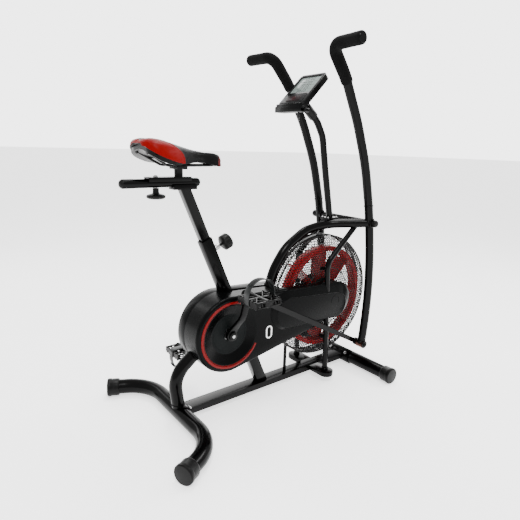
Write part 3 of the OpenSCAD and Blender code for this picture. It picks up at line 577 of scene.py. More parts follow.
# ---------- base frame ----------
def make_frame():
    for node, bevel in (("main_beam", 1.4), ("front_stabilizer", 0.6), ("frame_bolts", 0.7),
                        ("bottom_bracket_shell", 0.8), ("seat_tube", 1.6),
                        ("cross_plates", 1.6), ("support_rod", 0.4), ("pivot_crossbar", 0.8),
                        ("pivot_caps", 0.8), ("fan_axle", 0.5), ("crank_bearings", 0.5),
                        ("drive_chain", 0.4), ("pop_pin_socket", 0.5), ("mast_sleeve", 0.8),
                        ("stabilizer_caps", 0.8)):
        finished_copy(node, bevel)

    foot = box_mm("front_stabilizer")
    foot_z = (foot[0].z + foot[1].z) / 2
    beam_top = foot_z + 11
    rear_y = -316
    end, corner = vec(273, -450, foot_z), vec(208, rear_y, foot_z)
    stop = end + (corner - end).normalized() * 6
    s = Shape()
    s.tube(rounded_path(flipped([stop, corner], -1) + [corner, stop], [140, 140], 16), 25, 48,
           up=(0, 0, 1))
    s.finish("rear_stabilizer_tube", ["frame_paint"], "frame", "rear_stabilizer")

    s = Shape()
    neck = rounded_path([CRANK, (0, -332, 157), (0, rear_y - 2, foot_z + 20)], [90], 20)
    s.tube(neck, 21, 48)
    weld(s, (0, rear_y - 3, foot_z + 27), (0, 0.1, 1), 21.2)
    s.finish("rear_neck_tube", ["frame_paint"], "frame", "rear_neck")

    s = Shape()
    arch = rounded_path([(0, -84, 284), (0, 15, 322), (0, 60, 452), (0, 110, 522),
                         (0, 200, 575), (0, 300, 592), PIVOT], [55, 160, 160, 120, 120], 10)
    s.tube(arch, 16, 44)
    weld(s, PIVOT - vec(0, 12, 1.6), (0, 1, 0.14), 15.4)
    s.finish("arch_tube_bent", ["frame_paint"], "frame", "arch_tube")

    for sign, word, _ in SIDES:
        s = Shape()
        x = 80 * sign
        stay = rounded_path([(x, PIVOT.y - 9, PIVOT.z - 6), (x, 245, 464), (x, 254, 328),
                             (x, 268, beam_top + 4)], [60, 300], 14)
        s.tube(stay, 10, 32)
        eye = belt_points(255, FAN.z, 10, FAN.y, FAN.z, 16, 24, 24)
        s.prism(eye, lambda a, b, t: vec(x - 6.5 + t, a, b), 13, 0.9)
        s.lathe((x, 267, beam_top + 0.1), (0, 0, 1), [(0, 0), (0, 13), (5.6, 13), (6.8, 11.8),
                                                      (6.8, 0)])
        weld(s, (x, 267.6, beam_top + 8), (0, 0, 1), 10.4, 1.6)
        weld(s, (x, PIVOT.y - 11, PIVOT.z - 8), (0, 0.8, 0.6), 10.2, 1.6)
        s.finish(f"stay_{word}_tube", ["frame_paint"], "frame", f"stay_{word}")


# ---------- shroud ----------
def outline_ring(x, inset, low=DRUM, high=TAIL):
    (y1, z1, r1), (y2, z2, r2) = low, high
    return at_x(x, belt_points(y1, z1, r1 - inset, y2, z2, r2 - inset))


def pod_ring(x, q, inset):
    """The raised tail's outline, a share q of the way from its foot to its face."""
    low, high = ([u + (v - u) * q for u, v in zip(a, b)] for a, b in zip(POD_LOW, POD_HIGH))
    return outline_ring(x, inset, low, high)


def make_shroud():
    s = Shape()
    rings = [outline_ring(54, 2.5), outline_ring(54, 0), outline_ring(69.4, 0),
             outline_ring(69.7, 0.5), outline_ring(70.1, 0.5), outline_ring(70.4, 0)]
    for k in range(1, 10):
        a = math.radians(10 * k)
        rings.append(outline_ring(70.4 + (FACE - 70.4) * math.sin(a), 10.5 * (1 - math.cos(a))))
    rows = s.loft(rings, (False, False))
    lip = [(FACE, 98.6), (FACE - 0.5, 97.2), (FACE - 1.6, 96.0), (68.6, 70.4), (67.5, 68.6),
           (67, 66)]
    hole_rows = s.loft([circle_ring(x, CRANK, r) for x, r in lip], (False, False))
    s.fill_between(rows[-1], hole_rows[0])
    # The recessed disc round the crank, with a groove near its rim
    disc = [circle_ring(x, CRANK, r) for x, r in (
        (67, 66), (67, 61.2), (66.4, 60.6), (66.4, 59.4), (67, 58.8), (67, 24), (68.4, 22.4),
        (68.4, 20.6), (64.5, 20.6))]
    s.loft(disc, (False, False), 1)
    # Side wall of the drum, up to the fan guard
    cut = 60
    belt = belt_points(*DRUM, *TAIL, 120, 8)

    def line_z(side, y):
        (ya, za), (yb, zb) = side
        return za + (zb - za) * (y - ya) / (yb - ya)
    upper = max(p for p in belt if p[1] > 300 and p[0] < cut), belt[8]
    lower = max(p for p in belt if p[1] < 300 and p[0] < cut), belt[0]
    rise = [p for p in arc_points(FAN.y, FAN.z, CAGE_R + 4, 150, 210, 60)
            if p[0] < cut and line_z(lower, p[0]) < p[1] < line_z(upper, p[0])]
    slope = [p for p in belt if p[0] < 40] + [(cut, line_z(lower, cut))] + rise[::-1]

    seam, seat_y, seat_z, seat_slope, seat_half = 0.3, 14.3, 43, 0.4327, (17.2, 23)
    arch, neck = (15, 322, 60, 452, 17.4), (CRANK.y, CRANK.z, -332, 157, 22.4)

    def inner_edge(y, z):
        """The wall stops short of the tubes that pass between the two shells."""
        x = seam
        if z > 300 and abs(y - seat_y + (z - seat_z) * seat_slope) < seat_half[1]:
            x = seat_half[0]
        for ya, za, yb, zb, r in (arch, neck):
            off = abs((y - ya) * (zb - za) - (z - za) * (yb - ya)) / math.hypot(yb - ya, zb - za)
            if off < r and (z - za) * (zb - za) > 0:
                x = max(x, math.sqrt(r * r - off * off) + seam)
        return x
    s.loft([[vec(inner_edge(y, z), y, z) for y, z in slope], at_x(54, slope)], (False, False))
    # Two short ribs below the tail, beside the link
    for step in (0, 9):
        path = at_x(FACE + 0.25, [(128 + step, 252 - step), (196 + step, 228 - step)])
        s.tube(path, 0, shape=soft_rect(1.1, 2.6, 0.5, 3), edge=0.3)
    s.finish("shroud_right_shell", ["shroud_plastic", "disc_plastic"], "frame", "shroud_right",
             angle=30)

    # Raised tail: a ledge, sides that lean in, and a face with a small raised arc
    s = Shape()
    steps = [(76, 0.0, 0.4), (80.4, 0.0, 0.0), (81.4, 0.0, 0.5), (82.0, 0.02, 1.8),
             (82.6, 0.05, 2.2), (83.4, 0.10, 1.4), (84.4, 0.2, 0.8)]
    steps += [(84.4 + 1.1 * k, 0.2 + 0.8 * k / 6, 0.8 * (1 - k / 6)) for k in range(1, 7)]
    steps += [(91.9, 1, 0.5), (92.6, 1, 1.4), (93, 1, 2.8)]
    s.loft([pod_ring(*step) for step in steps], (False, True))
    s.tube(at_x(93.1, arc_points(287, 318, 20, -25, 195, 40)), 0,
           shape=soft_rect(1.6, 3.4, 0.7, 3), edge=0.4)
    s.finish("shroud_tail_cover", ["shroud_plastic"], "frame", angle=24)

    s = Shape()
    bead = [(b, a) for a, b in soft_rect(8, 4.4, 2.1, 6)]
    s.tube(at_x(FACE + 0.3, arc_points(CRANK.y, CRANK.z, 107, 72, 333, 120)), 0, shape=bead)
    s.tube(at_x(FACE + 0.1, arc_points(CRANK.y, CRANK.z, 101.4, 96, 318, 110)), 0.9, 10,
           edge=0.3)
    s.finish("shroud_ring_bead", ["red_trim"], "frame", "shroud_ring", angle=50)

    s = Shape()
    badge_y, badge_z = -18, 262
    path = []
    for cz, start in ((badge_z + 10, 0), (badge_z - 10, 180)):
        path += at_x(FACE + 1.2, arc_points(badge_y, cz, 10.5, start, start + 180, 24))
    s.hoop(path, soft_rect(3.2, 5.4, 1.4, 4))
    s.finish("badge_ring", ["badge_silver"], "frame", "badge", angle=50)

    finished_copy("shroud_left", 1.4, 30)


# ---------- fan and its guard ----------
def hex_cells(pitch, keep):
    """Corner points and cells of a honeycomb; keep says which cell centres stay."""
    size = pitch / math.sqrt(3)
    points, cells, index = [], [], {}
    reach = int(2 * CAGE_R / pitch)
    for i in range(-reach, reach + 1):
        for j in range(-reach, reach + 1):
            a, b = pitch * (i + (j % 2) * 0.5), size * 1.5 * j
            if not keep(a, b):
                continue
            cell = []
            for k in range(6):
                t = math.radians(60 * k + 30)
                key = (round(a + size * math.cos(t), 3), round(b + size * math.sin(t), 3))
                if key not in index:
                    index[key] = len(points)
                    points.append(key)
                cell.append(index[key])
            cells.append(cell)
    return points, cells


def make_guard(sign, word):
    rim = CAGE_R - 3
    flat, bend = 49.6, 30

    def dome(r):
        q = max(0.0, min(1.0, (r - rim + bend) / bend))
        return flat - bend * (1 - math.sqrt(max(0.0, 1 - q * q)))

    mesh = bpy.data.meshes.new("mesh_sheet")
    points, cells = hex_cells(10.2, lambda a, b: 38 < math.hypot(a, b) < rim - 3)
    verts = []
    for a, b in points:
        r = math.hypot(a, b)
        if r > rim:
            a, b, r = a * rim / r, b * rim / r, rim
        verts.append(vec(sign * dome(r), FAN.y + a, FAN.z + b) * MM)
    # The strip between the shoulder and the middle seam
    turns = 140
    base = len(verts)
    strip, index = [], {}
    for row in range(3):
        for k in range(turns):
            cell = []
            for c in range(6):
                t = math.radians(60 * c + 30)
                u = round((k + 0.5 * (row % 2)) * 2 + math.cos(t) * 2 / math.sqrt(3), 3)
                key = (u % (2 * turns), round(row * 1.5 + math.sin(t), 3))
                if key not in index:
                    index[key] = base + len(strip)
                    ang = math.pi * key[0] / turns
                    x = 6.5 + (key[1] + 1) * 3.3
                    strip.append(vec(sign * min(x, 26), FAN.y + rim * math.cos(ang),
                                     FAN.z + rim * math.sin(ang)) * MM)
                cell.append(index[key])
            cells.append(cell)
    verts += strip
    mesh.from_pydata([tuple(v) for v in verts], [], cells)
    mesh.validate()
    sheet = bpy.data.objects.new("mesh_sheet", mesh)
    scene.collection.objects.link(sheet)
    wire = sheet.modifiers.new("wire", "WIREFRAME")
    wire.thickness = 3.1 * MM
    wire.use_even_offset = False
    wire.use_boundary = True
    apply_modifiers(sheet)
    wires = sheet.data
    bpy.data.objects.remove(sheet)

    s = Shape()
    s.bm.from_mesh(wires)
    bmesh.ops.scale(s.bm, vec=(1 / MM,) * 3, verts=s.bm.verts)

    # Hoops: middle x, radius, thickness outwards, thickness along x, corner radius
    for x, r, w, h, soft in ((3.2, CAGE_R - 2.2, 4.2, 5.8, 1.2),
                             (26.5, CAGE_R - 2.6, 3.6, 3.6, 1.6),
                             (flat, 39, 5, 2.6, 1.1), (flat + 0.4, 112, 3, 2.4, 1.0)):
        outline = [(b, a) for a, b in soft_rect(w, h, soft, 3)]
        s.hoop(circle_ring(sign * x, FAN, r, 120), outline, 1)
    # Blocks that hold the guard on the stay
    for y, z in ((246, 441), (262, 173)):
        near, far = sorted((sign * 49, sign * 69.8))
        s.box((near, y - 6, z - 6), (far, y + 6, z + 6), 1.2, 1)
    s.finish(f"guard_{word}", ["guard_wire", "rim_wire"], "frame", f"cage_{word}",
                    angle=40, normals=False)


def make_fan():
    s = Shape()
    r = box_mm("fan_wheel")[1].z - FAN.z
    band = [(2.6, r - 17), (2, r - 16), (2, r - 2.6), (2.8, r - 0.8), (4.6, r), (27, r),
            (27.6, r - 0.9), (29.4, r - 0.9), (30, r), (39.4, r), (41.2, r - 0.8),
            (42, r - 2.6), (42, r - 6), (41.2, r - 6.8), (41.2, r - 9.2), (42, r - 10),
            (42, r - 16), (41.4, r - 17)]
    s.lathe((0, FAN.y, FAN.z), (1, 0, 0), band, 160, 0, loop=True)
    for x in (-34, 30):
        s.lathe((x, FAN.y, FAN.z), (1, 0, 0), [(0, 31), (0, 70.5), (1, 72), (3, 72), (4, 70.5),
                                              (4, 31)], 96, 1, loop=True)
    vanes, wide, root, tip, steps = 8, 76, 29, r - 12, 12
    for k in range(vanes):
        turn = Matrix.Rotation(2 * math.pi * k / vanes, 4, "X")
        rings = []
        for q in (i / steps for i in range(steps + 1)):
            bow = 5 * math.sin(math.pi * q)
            rings.append([turn @ vec(a, b + bow * (1 - (2 * a / wide) ** 2),
                                     root + (tip - root) * q) + FAN
                          for a, b in soft_rect(wide, 3, 1.3, 3)])
        s.loft(rings)
    s.finish("fan_wheel_vanes", ["fan_red", "hub_grey"], "fan", "fan_wheel", angle=36)
    finished_copy("fan_hub", 1.2)


# ---------- crank and pedals ----------
def pin_place(sign, short):
    """Maps a pedal's own place (x outwards, y forward, z up at the right) to the frame."""
    pin = axis_mm(f"pedal_{short}_spin")

    def place(x, y, z):
        return vec(sign * x, pin.y + sign * y, pin.z + sign * z)
    return place


def make_cranks():
    for node, bevel in (("crank_spindle", 1.0), ("drive_sprocket", 0.4),
                        ("pedal_spindles", 0.6)):
        finished_copy(node, bevel)
    for sign, word, short in SIDES:
        pin = axis_mm(f"pedal_{short}_spin")
        along = pin - CRANK
        along.x = 0
        reach = along.length
        along.normalize()
        across = vec(1, 0, 0).cross(along)

        def at(x, d, w):
            return vec(sign * x, CRANK.y, CRANK.z) + along * d + across * w
        s = Shape()
        # Arm's sections: distance along it, middle x, half thickness, half width
        rows = [(-4, 77, 7.5, 15), (10, 78, 7.6, 14.5), (26, 86, 7.2, 12.5), (44, 98, 6.8, 11),
                (62, 110, 6.6, 10.4), (78, 114, 6.4, 10.2), (reach - 24, 114, 6.4, 11),
                (reach - 8, 114, 6.5, 12.6)]
        s.loft([[at(x + a, d, b) for a, b in soft_rect(2 * t, 2 * w, 3.2, 4)]
                for d, x, t, w in rows])
        s.lathe(*outwards(68.2, CRANK, sign),
                [(0, 11), (0, 17), (1.2, 18), (16, 18), (17.4, 16.6), (18, 13.9),
                 (23.6, 13.7), (24.6, 12.6), (24.8, 8), (24, 7.4), (24, 0)])
        s.lathe(*outwards(92.2, CRANK, sign),
                [(0, 0), (0, 5.4), (1.2, 5.2), (1.6, 4.4), (1.6, 0)], 32, 1)
        s.lathe(*outwards(107.5, pin, sign),
                [(0, 0), (0, 12.6), (1.2, 14), (11.8, 14), (13, 12.6), (13, 9), (12.4, 8.6),
                 (12.4, 0)])
        s.finish(f"crank_arm_{word}_forged", ["crank_black", "zinc_steel"], "crank",
                 f"crank_arm_{word}", angle=40)


def make_pedal(sign, word, short):
    place = pin_place(sign, short)
    x0, wide, deep = 124, 92, 94
    xm = x0 + wide / 2
    s = Shape()
    barrel = [(0, 6.4), (0, 12), (1, 13), (7, 13), (8.5, 12), (40, 10.8), (60, 10.8),
              (82, 12), (85, 12.6), (90, 12.6), (91.4, 11.4), (91.8, 0)]
    s.lathe(place(x0, 0, 0), (sign, 0, 0), barrel, 48)
    # Toothed plates in front of and behind the barrel
    teeth = 6
    outline = [((k + q) * wide / teeth, b) for k in range(teeth)
               for q, b in ((0, 8.4), (0.22, 12), (0.55, 12), (0.78, 8.4))]
    outline.append((wide, 8.4))
    outline += [(a, -b) for a, b in outline[::-1]]
    for y in (-deep / 2, deep / 2 - 5):
        s.prism(outline, lambda a, b, t, y=y: place(x0 + a, y + t, b), 5, 0.8)
    # Ends and middle web, each with windows between their rails
    def bar(xa, xb, y, z, dy, dz, bevel):
        ends = place(xa, y - dy, z - dz), place(xb, y + dy, z + dz)
        s.box([min(pair) for pair in zip(*ends)], [max(pair) for pair in zip(*ends)], bevel)

    for xa, xb in ((x0, x0 + 7), (xm - 4, xm + 4), (x0 + wide - 7, x0 + wide)):
        for y in (-deep / 4 - 1, deep / 4 + 1):
            for z in (-7.4, 7.4):
                bar(xa, xb, y, z, 21.5, 2, 0.9)
            for step in (-13, 0, 13):
                bar(xa + 1.5, xb - 1.5, y + step, 0, 2, 8, 0.7)
        bar(xa + 0.6, xb - 0.6, 0, 0, 13, 9.2, 1.4)
    # Diagonal ribs of the top and bottom grip
    for xa, xb in ((x0 + 7, xm - 4), (xm + 4, x0 + wide - 7)):
        for z in (-8.6, 8.6):
            for ya, yb in ((14, 41), (41, 14), (-14, -41), (-41, -14)):
                path = [place(xa, ya, z), place((xa + xb) / 2, (ya + yb) / 2, z),
                        place(xb, yb, z)]
                s.tube(path, 0, shape=soft_rect(3, 3.4, 0.8, 2), edge=0.4)
    s.finish(f"pedal_{word}_cage", ["pedal_plastic"], f"pedal_{short}", f"pedal_{word}", angle=35)
    # Strap: over the toes in an arc, under the pedal as a flat run
    r, lift = 48.6, 17
    s = Shape()
    path = arc_points(0, lift, r, 0, 180, 48) + [(-r, 6), (-r, -4)]
    path += arc_points(-r + 9, -4.6, 9, 180, 270, 8) + [(0, -13.6)]
    path += arc_points(r - 9, -4.6, 9, 270, 360, 8) + [(r, 6)]
    s.hoop([place(xm, y, z) for y, z in path], soft_rect(24, 2.4, 0.8, 3))

    def raised(degrees, levels, mat=0):
        """A pad standing on the strap; each level is a height and an outline."""
        angle = math.radians(degrees)
        out = vec(0, math.cos(angle), math.sin(angle))
        along = vec(0, -out.z, out.y)
        rings = []
        for h, outline in levels:
            base = vec(0, 0, lift) + out * (r + h)
            rings.append([place(xm + a, *(base + along * b).yz) for a, b in outline])
        s.loft(rings, mat=mat)

    # Ladder of small teeth on the outer side, and the buckle
    for k in range(26):
        raised(58 + 3.4 * k, [(h, [(a * q, b * q) for a, b in soft_rect(15, 1.6, 0.5, 1)])
                              for h, q in ((0.9, 1.0), (1.75, 1.0), (2.1, 0.8))])
    for wa, wb, low, high in ((30, 20, 0.8, 4.2), (26, 7, 3.4, 6.0)):
        raised(40, [(h, soft_rect(wa - 2 * q, wb - 2 * q, 2, 3))
                    for h, q in ((low, 0), (high - 0.8, 0), (high, 0.9))], 1)
    s.finish(f"strap_{word}_band", ["strap_rubber", "pedal_plastic"], f"pedal_{short}",
             f"strap_{word}", angle=35)


# ---------- handles ----------
def make_handle(sign, word, short):
    body = f"handle_{short}"
    x = 127
    s = Shape()
    arm = rounded_path([(x, PIVOT.y - 13, PIVOT.z + 66), (x, PIVOT.y, PIVOT.z),
                        (x, 440, 340), (x, LOW.y, LOW.z)], [250, 1400], 16)
    s.tube(flipped(arm, sign), 15.5, 44)
    # Bosses: centre, radius, half length, how far the tube above leans forward
    for at, r, half, lean in ((PIVOT, 15, 17, 0.6), (LOW, 14.5, 18, -0.8)):
        s.lathe(*outwards(x - half, at, sign),
                [(0, 0), (0, r - 1.4), (1.2, r), (2 * half - 1.2, r), (2 * half, r - 1.4),
                 (2 * half, 0)])
        weld(s, (sign * x, at.y + lean, at.z + r), (0, 0.02, 1), 15.2, 1.5)
    # Collar where the handlebar is pushed over the arm, and its two bolts
    top = vec(sign * x, PIVOT.y - 13, PIVOT.z + 66)
    lean = (top - vec(sign * x, PIVOT.y, PIVOT.z)).normalized()
    s.lathe(top - lean * 5, lean, [(0, 15.3), (0, 16.6), (0.8, 17.2), (4, 17.2),
                                   (4.8, 16.4), (4.8, 15.2)], 48)
    for z in (20, 46):
        head = vec(sign * x, PIVOT.y - z * 0.197 + 15, PIVOT.z + z)
        s.lathe(head, (0, 1, 0), [(0, 0), (0, 6.6), (1, 6.6), (1.2, 5.6), (3.4, 5.4),
                                  (5, 4.2), (5.8, 2.4), (6, 0)], 32, 1)
    # Bronze-coloured sleeve round the lower boss
    s.lathe(*outwards(x - 15, LOW, sign),
            [(0, 14.0), (0, 15.2), (30, 15.2), (30, 14.0)], 48, 2)
    # Lower pivot bolt: domed head outside, lock nut inside
    s.lathe(*outwards(x + 17, LOW, sign),
            [(0, 0), (0, 8.5), (1.2, 8.5), (1.5, 7.8), (4, 7.2), (6, 5.2), (7, 2.4), (7, 0)],
            40, 0)
    s.lathe(*outwards(89, LOW, sign),
            [(0, 0), (0, 6.6), (0.8, 7.6), (4.2, 7.6), (4.4, 8.5), (5.8, 8.5), (5.8, 5),
             (22, 5)], 6, 2)
    s.finish(f"swing_arm_{word}_tube", ["frame_paint", "zinc_steel", "pivot_bronze"], body,
             f"swing_arm_{word}")

    s = Shape()
    half = box_mm("handlebar_right")[1].x
    bar = rounded_path([(x, PIVOT.y - 13.2, PIVOT.z + 67), (128, 352, 811), (131, 290, 952),
                        (136, 215, 1080), (141, 139, 1167), (half - 5, 132, 1168),
                        (half, 132, 1168)], [700, 600, 300, 38, 1], 16)
    bar = [bar[0]] + [b for a, b in zip(bar, bar[1:]) if (b - a).length > 0.3]
    s.tube(flipped(bar, sign), 15.5, 44, edge=1.2)
    s.finish(f"handlebar_{word}_tube", ["frame_paint"], body, f"handlebar_{word}")

    s = Shape()
    low = box_mm(f"grip_{word}")[0].z + 10
    end = vec(half - 1.5, 132, 1168)
    path = flipped([p for p in bar if p.z > low and p.x < end.x - 2] + [end], sign)
    reach = [0.0]
    for a, b in zip(path, path[1:]):
        reach.append(reach[-1] + (b - a).length)

    def along(d):
        i = min(max(j for j in range(len(reach)) if reach[j] <= d + 1e-6), len(path) - 2)
        return path[i].lerp(path[i + 1], (d - reach[i]) / (reach[i + 1] - reach[i]))

    # Foam swells a little between its ends, which are drawn in
    steps, thick, drawn_in, swell = 90, 19.3, 2.4, 0.35
    rings, up = [], vec(0, 0, 1)
    stations = [reach[-1] * k / steps for k in range(steps + 1)]
    fine = [along(d) for d in stations]
    for k, (d, p) in enumerate(zip(stations, fine)):
        t = (fine[min(k + 1, steps)] - fine[max(k - 1, 0)]).normalized()
        up = (up - t * up.dot(t)).normalized()
        near = min(d, reach[-1] - d)
        r = thick - drawn_in * math.exp(-near / 2.2) - swell * math.cos(d / 31)
        rings.append(ring_points(p, up, t.cross(up), round_shape(r, 44)))
    s.loft(rings)
    # End plug of the tube, seen as a dark ring in the middle of the foam
    s.lathe(*outwards(end.x - 0.4, end, sign),
            [(0, 15.4), (0.9, 15.2), (1.3, 14.2), (1.3, 11.4), (0.4, 10.6), (0.4, 0)], 44, 1)
    grip = s.finish(f"grip_{word}_foam", ["foam_grip", "cap_plastic"], body, f"grip_{word}")

    finished_copy(f"link_{word}", 2.6, 40, 3)


# ---------- seat ----------
def make_seat():
    for node, bevel in (("seat_post", 1.5), ("saddle_rail", 0.5), ("rail_caps", 0.5),
                        ("saddle_carriage", 1.0), ("pop_pin_knob", 1.0)):
        finished_copy(node, bevel)
    knob = axis_mm("clamp_turn")
    low = box_mm("clamp_knob")[0].z
    top = box_mm("clamp_knob")[1].z
    s = Shape()
    stem = [(0, 0), (0, 19), (1, 22.4), (3.4, 25.8), (7, 26.9), (9.6, 25.8), (12, 22.2),
            (14, 14.2), (16, 9.8), (20, 8.8), (29.4, 8.5), (30, 7.9), (30, 4)]
    sides = 120
    rings = []
    for t, r in stem:
        if r < 1e-6:
            rings.append([vec(0, knob.y, low + t)])
            continue
        ring = []
        for k in range(sides):
            a = 2 * math.pi * k / sides
            q = r - (1.1 * max(0.0, math.cos(a * 12)) ** 3 if 21 < r else 0)
            ring.append(vec(q * math.cos(a), knob.y + q * math.sin(a), low + t))
        rings.append(ring)
    s.loft(rings)
    s.lathe((0, knob.y, low + 30), (0, 0, 1), [(-2, 4), (top - low - 33, 4),
                                              (top - low - 33, 0)], 24, 1)
    s.lathe((0, knob.y, top - 4.6), (0, 0, 1),
            [(0, 0), (0, 7), (1, 7.2), (2.6, 6.6), (4, 4.6), (4.6, 2.4), (4.6, 0)], 40, 1)
    s.finish("clamp_knob_grip", ["cap_plastic", "zinc_steel"], "clamp_knob", "clamp_knob")

    s = Shape()
    wire_z = 807.5
    for side in (-1, 1):
        path = rounded_path([(side * 34, -412, 843), (side * 20, -350, wire_z),
                             (side * 20, -262, wire_z), (side * 9, -198, wire_z)],
                            [30, 60], 10)
        s.tube(path, 3.5, 24)
    s.finish("saddle_wires", ["dark_steel"], "saddle", "saddle_rails", slot="zinc_steel")


# Saddle sections, front to rear: y, half width, crown height, edge height
SADDLE = [(-168, 9, 825, 808), (-171, 14, 832, 806), (-178, 18, 838, 806),
          (-190, 21, 843, 809), (-210, 22.5, 845, 813), (-230, 24, 846, 817),
          (-250, 28.5, 848.5, 819), (-270, 36, 852, 819), (-290, 47, 856, 817),
          (-310, 58, 861, 815), (-330, 68, 866, 816), (-350, 76, 871, 820),
          (-370, 80.5, 875, 826), (-390, 82, 878, 833), (-403, 79, 878.5, 839),
          (-414, 71, 877, 846), (-422, 59, 874.5, 852), (-428, 42, 870, 858)]


NOSE, REAR = SADDLE[0][0], SADDLE[-1][0]


def saddle_at(y):
    y = min(NOSE, max(REAR, y))
    for a, b in zip(SADDLE, SADDLE[1:]):
        if b[0] <= y <= a[0]:
            q = (y - a[0]) / (b[0] - a[0])
            return [u + (v - u) * q for u, v in zip(a, b)]


def eased(y, span):
    """Half width, crown and edge at y, averaged with the neighbours so that the sides flow."""
    rows = [saddle_at(y + span * q) for q in (-1, -0.5, 0, 0.5, 1)]
    return [sum(row[i] for row in rows) / len(rows) for i in (1, 2, 3)]


def red_panel(y, q):
    """True where the saddle's red side panels lie; q runs from the edge to the crown."""
    if y > -316:
        return False
    return q < min(0.9, 0.2 + 0.75 * min(1.0, ((-316 - y) / 76) ** 0.7)) or y < -416


def make_saddle():
    s = Shape()
    stations = [NOSE - d for d in (0, 0.8, 2, 4, 7)]
    stations += [NOSE - 10 - 3 * k for k in range(82)]
    stations += [REAR + d for d in (3, 1, 0)]
    steps = 44
    rings, marks = [], []
    for y in stations:
        w, top, low = eased(y, 6 if NOSE - 10 > y > REAR + 10 else 1.2)
        rear = max(0.0, min(1.0, (-y - 330) / 90))
        ring, mark = [], []
        for k in range(2 * steps + 1):
            q = 1 - abs(k - steps) / steps           # 0 at the edge, 1 on the crown
            side = -1 if k < steps else 1
            a = math.pi / 2 * q
            x = w * math.cos(a) ** 0.62
            h = math.sin(a) ** 0.8
            z = low + (top - low) * h
            # channel along the middle, dishes of the rear lobes, waist of the skirts
            z -= (2.6 * math.exp(-(x / 9) ** 2)) * min(1.0, max(0.0, (-185 - y) / 40))
            z += rear * 1.6 * math.exp(-((x - 44) / 20) ** 2)
            x -= 1.6 * math.sin(math.pi * min(1.0, q * 2.4)) * (1 - 0.4 * rear)
            ring.append(vec(side * x, y, z))
            mark.append(2 if y > NOSE - 9 - 9 * (1 - q) else int(red_panel(y, q)))
        # tucked edge and hollow lower side
        under = []
        for x, dz in ((w - 2.2, 0.4), (w * 0.6, 9.2), (w * 0.3, 11.4), (0, 13.2),
                      (-w * 0.3, 11.4), (-w * 0.6, 9.2), (2.2 - w, 0.4)):
            under.append(vec(x, y, min(low + dz, top - 4)))
        rings.append(ring + under)
        marks.append(mark)
    rows = s.loft(rings)
    s.bm.verts.index_update()
    spot = {}
    for i, row in enumerate(rows):
        for k, v in enumerate(row):
            spot[v.index] = (i, k)
    for face in s.bm.faces:
        keys = [spot[v.index] for v in face.verts]
        if len(keys) == 4 and all(k <= 2 * steps for _, k in keys):
            i, k = min(i for i, _ in keys), min(k for _, k in keys)
            if marks[i][k] and marks[min(i + 1, len(marks) - 1)][min(k + 1, 2 * steps)]:
                face.material_index = marks[i][k]
        elif all(i == len(marks) - 1 for i, _ in keys):
            face.material_index = 1             # the closed rear end
    # Sewn groove: points on the border between the colours sink a little
    border = {v for e in s.bm.edges for v in e.verts
              if len({f.material_index for f in e.link_faces}) > 1}
    s.bm.normal_update()
    for v in border:
        v.co -= v.normal * 0.9
    pad = s.finish("saddle_cover", ["saddle_leather", "saddle_red", "nose_red"], "saddle",
                   "saddle_pad", angle=60)

    # Pan under the cover: skirt, rear bumper with oval holes, sockets for the wires
    s = Shape()
    rings = []
    for y in [-173, -176] + [-180 - 6 * k for k in range(41)]:
        w, top, low = eased(y, 6)
        w -= 2
        deep = 9 * max(0.0, min(1.0, (-y - 320) / 50)) ** 0.7
        ring = []
        for x, dz in ((w, 1.0), (w * 0.62, 8), (w * 0.3, 10.4), (0, 12), (-w * 0.3, 10.4),
                      (-w * 0.62, 8), (-w, 1.0), (-w + deep * 0.3, -2.6 - deep),
                      (-w + deep * 0.3 + 3, -3 - deep), (-w * 0.6, 4.6 - deep),
                      (-w * 0.3, 7 - deep), (0, 8.6 - deep), (w * 0.3, 7 - deep),
                      (w * 0.6, 4.6 - deep),
                      (w - deep * 0.3 - 3, -3 - deep), (w - deep * 0.3, -2.6 - deep)):
            ring.append(vec(x, y, low + dz))
        rings.append(ring)
    s.loft(rings)
    for side in (-1, 1):
        for y in (-398, -378, -360):
            w, _, low = eased(y, 6)
            path = [vec(side * (w - 6), y - 12, low + 2), vec(side * (w - 5.4), y, low - 5),
                    vec(side * (w - 6), y + 12, low - 1.6)]
            s.tube(path, 2.4, 12)
        s.tube([vec(side * 34, -416, 842), vec(side * 34.6, -406, 843.6),
                vec(side * 33, -398, 839)], 5.4, 20)
    s.tube([vec(11, -194, 810.4), vec(0, -192, 811), vec(-11, -194, 810.4)], 4.2, 20)
    s.finish("saddle_pan", ["console_black"], "saddle", "saddle_base", angle=40)


# ---------- console ----------
def face_place(x, y, z):
    """The console's own frame: x across, y up its face, z out of it."""
    return vec(x, 116 + (y - z) * math.sqrt(0.5), 984 + (y + z) * math.sqrt(0.5))


def plate(shape, cx, cy, w, h, r, z0, z1, mat, bevel=0.8, steps=6):
    outline = soft_rect(w, h, r, steps)
    rings = []
    for z, q in ((z0, 0), (z1 - bevel, 0), (z1 - bevel * 0.3, bevel * 0.35), (z1, bevel)):
        rings.append([face_place(cx + a * (1 - 2 * q / w), cy + b * (1 - 2 * q / h), z)
                      for a, b in outline])
    shape.loft(rings, mat=mat)


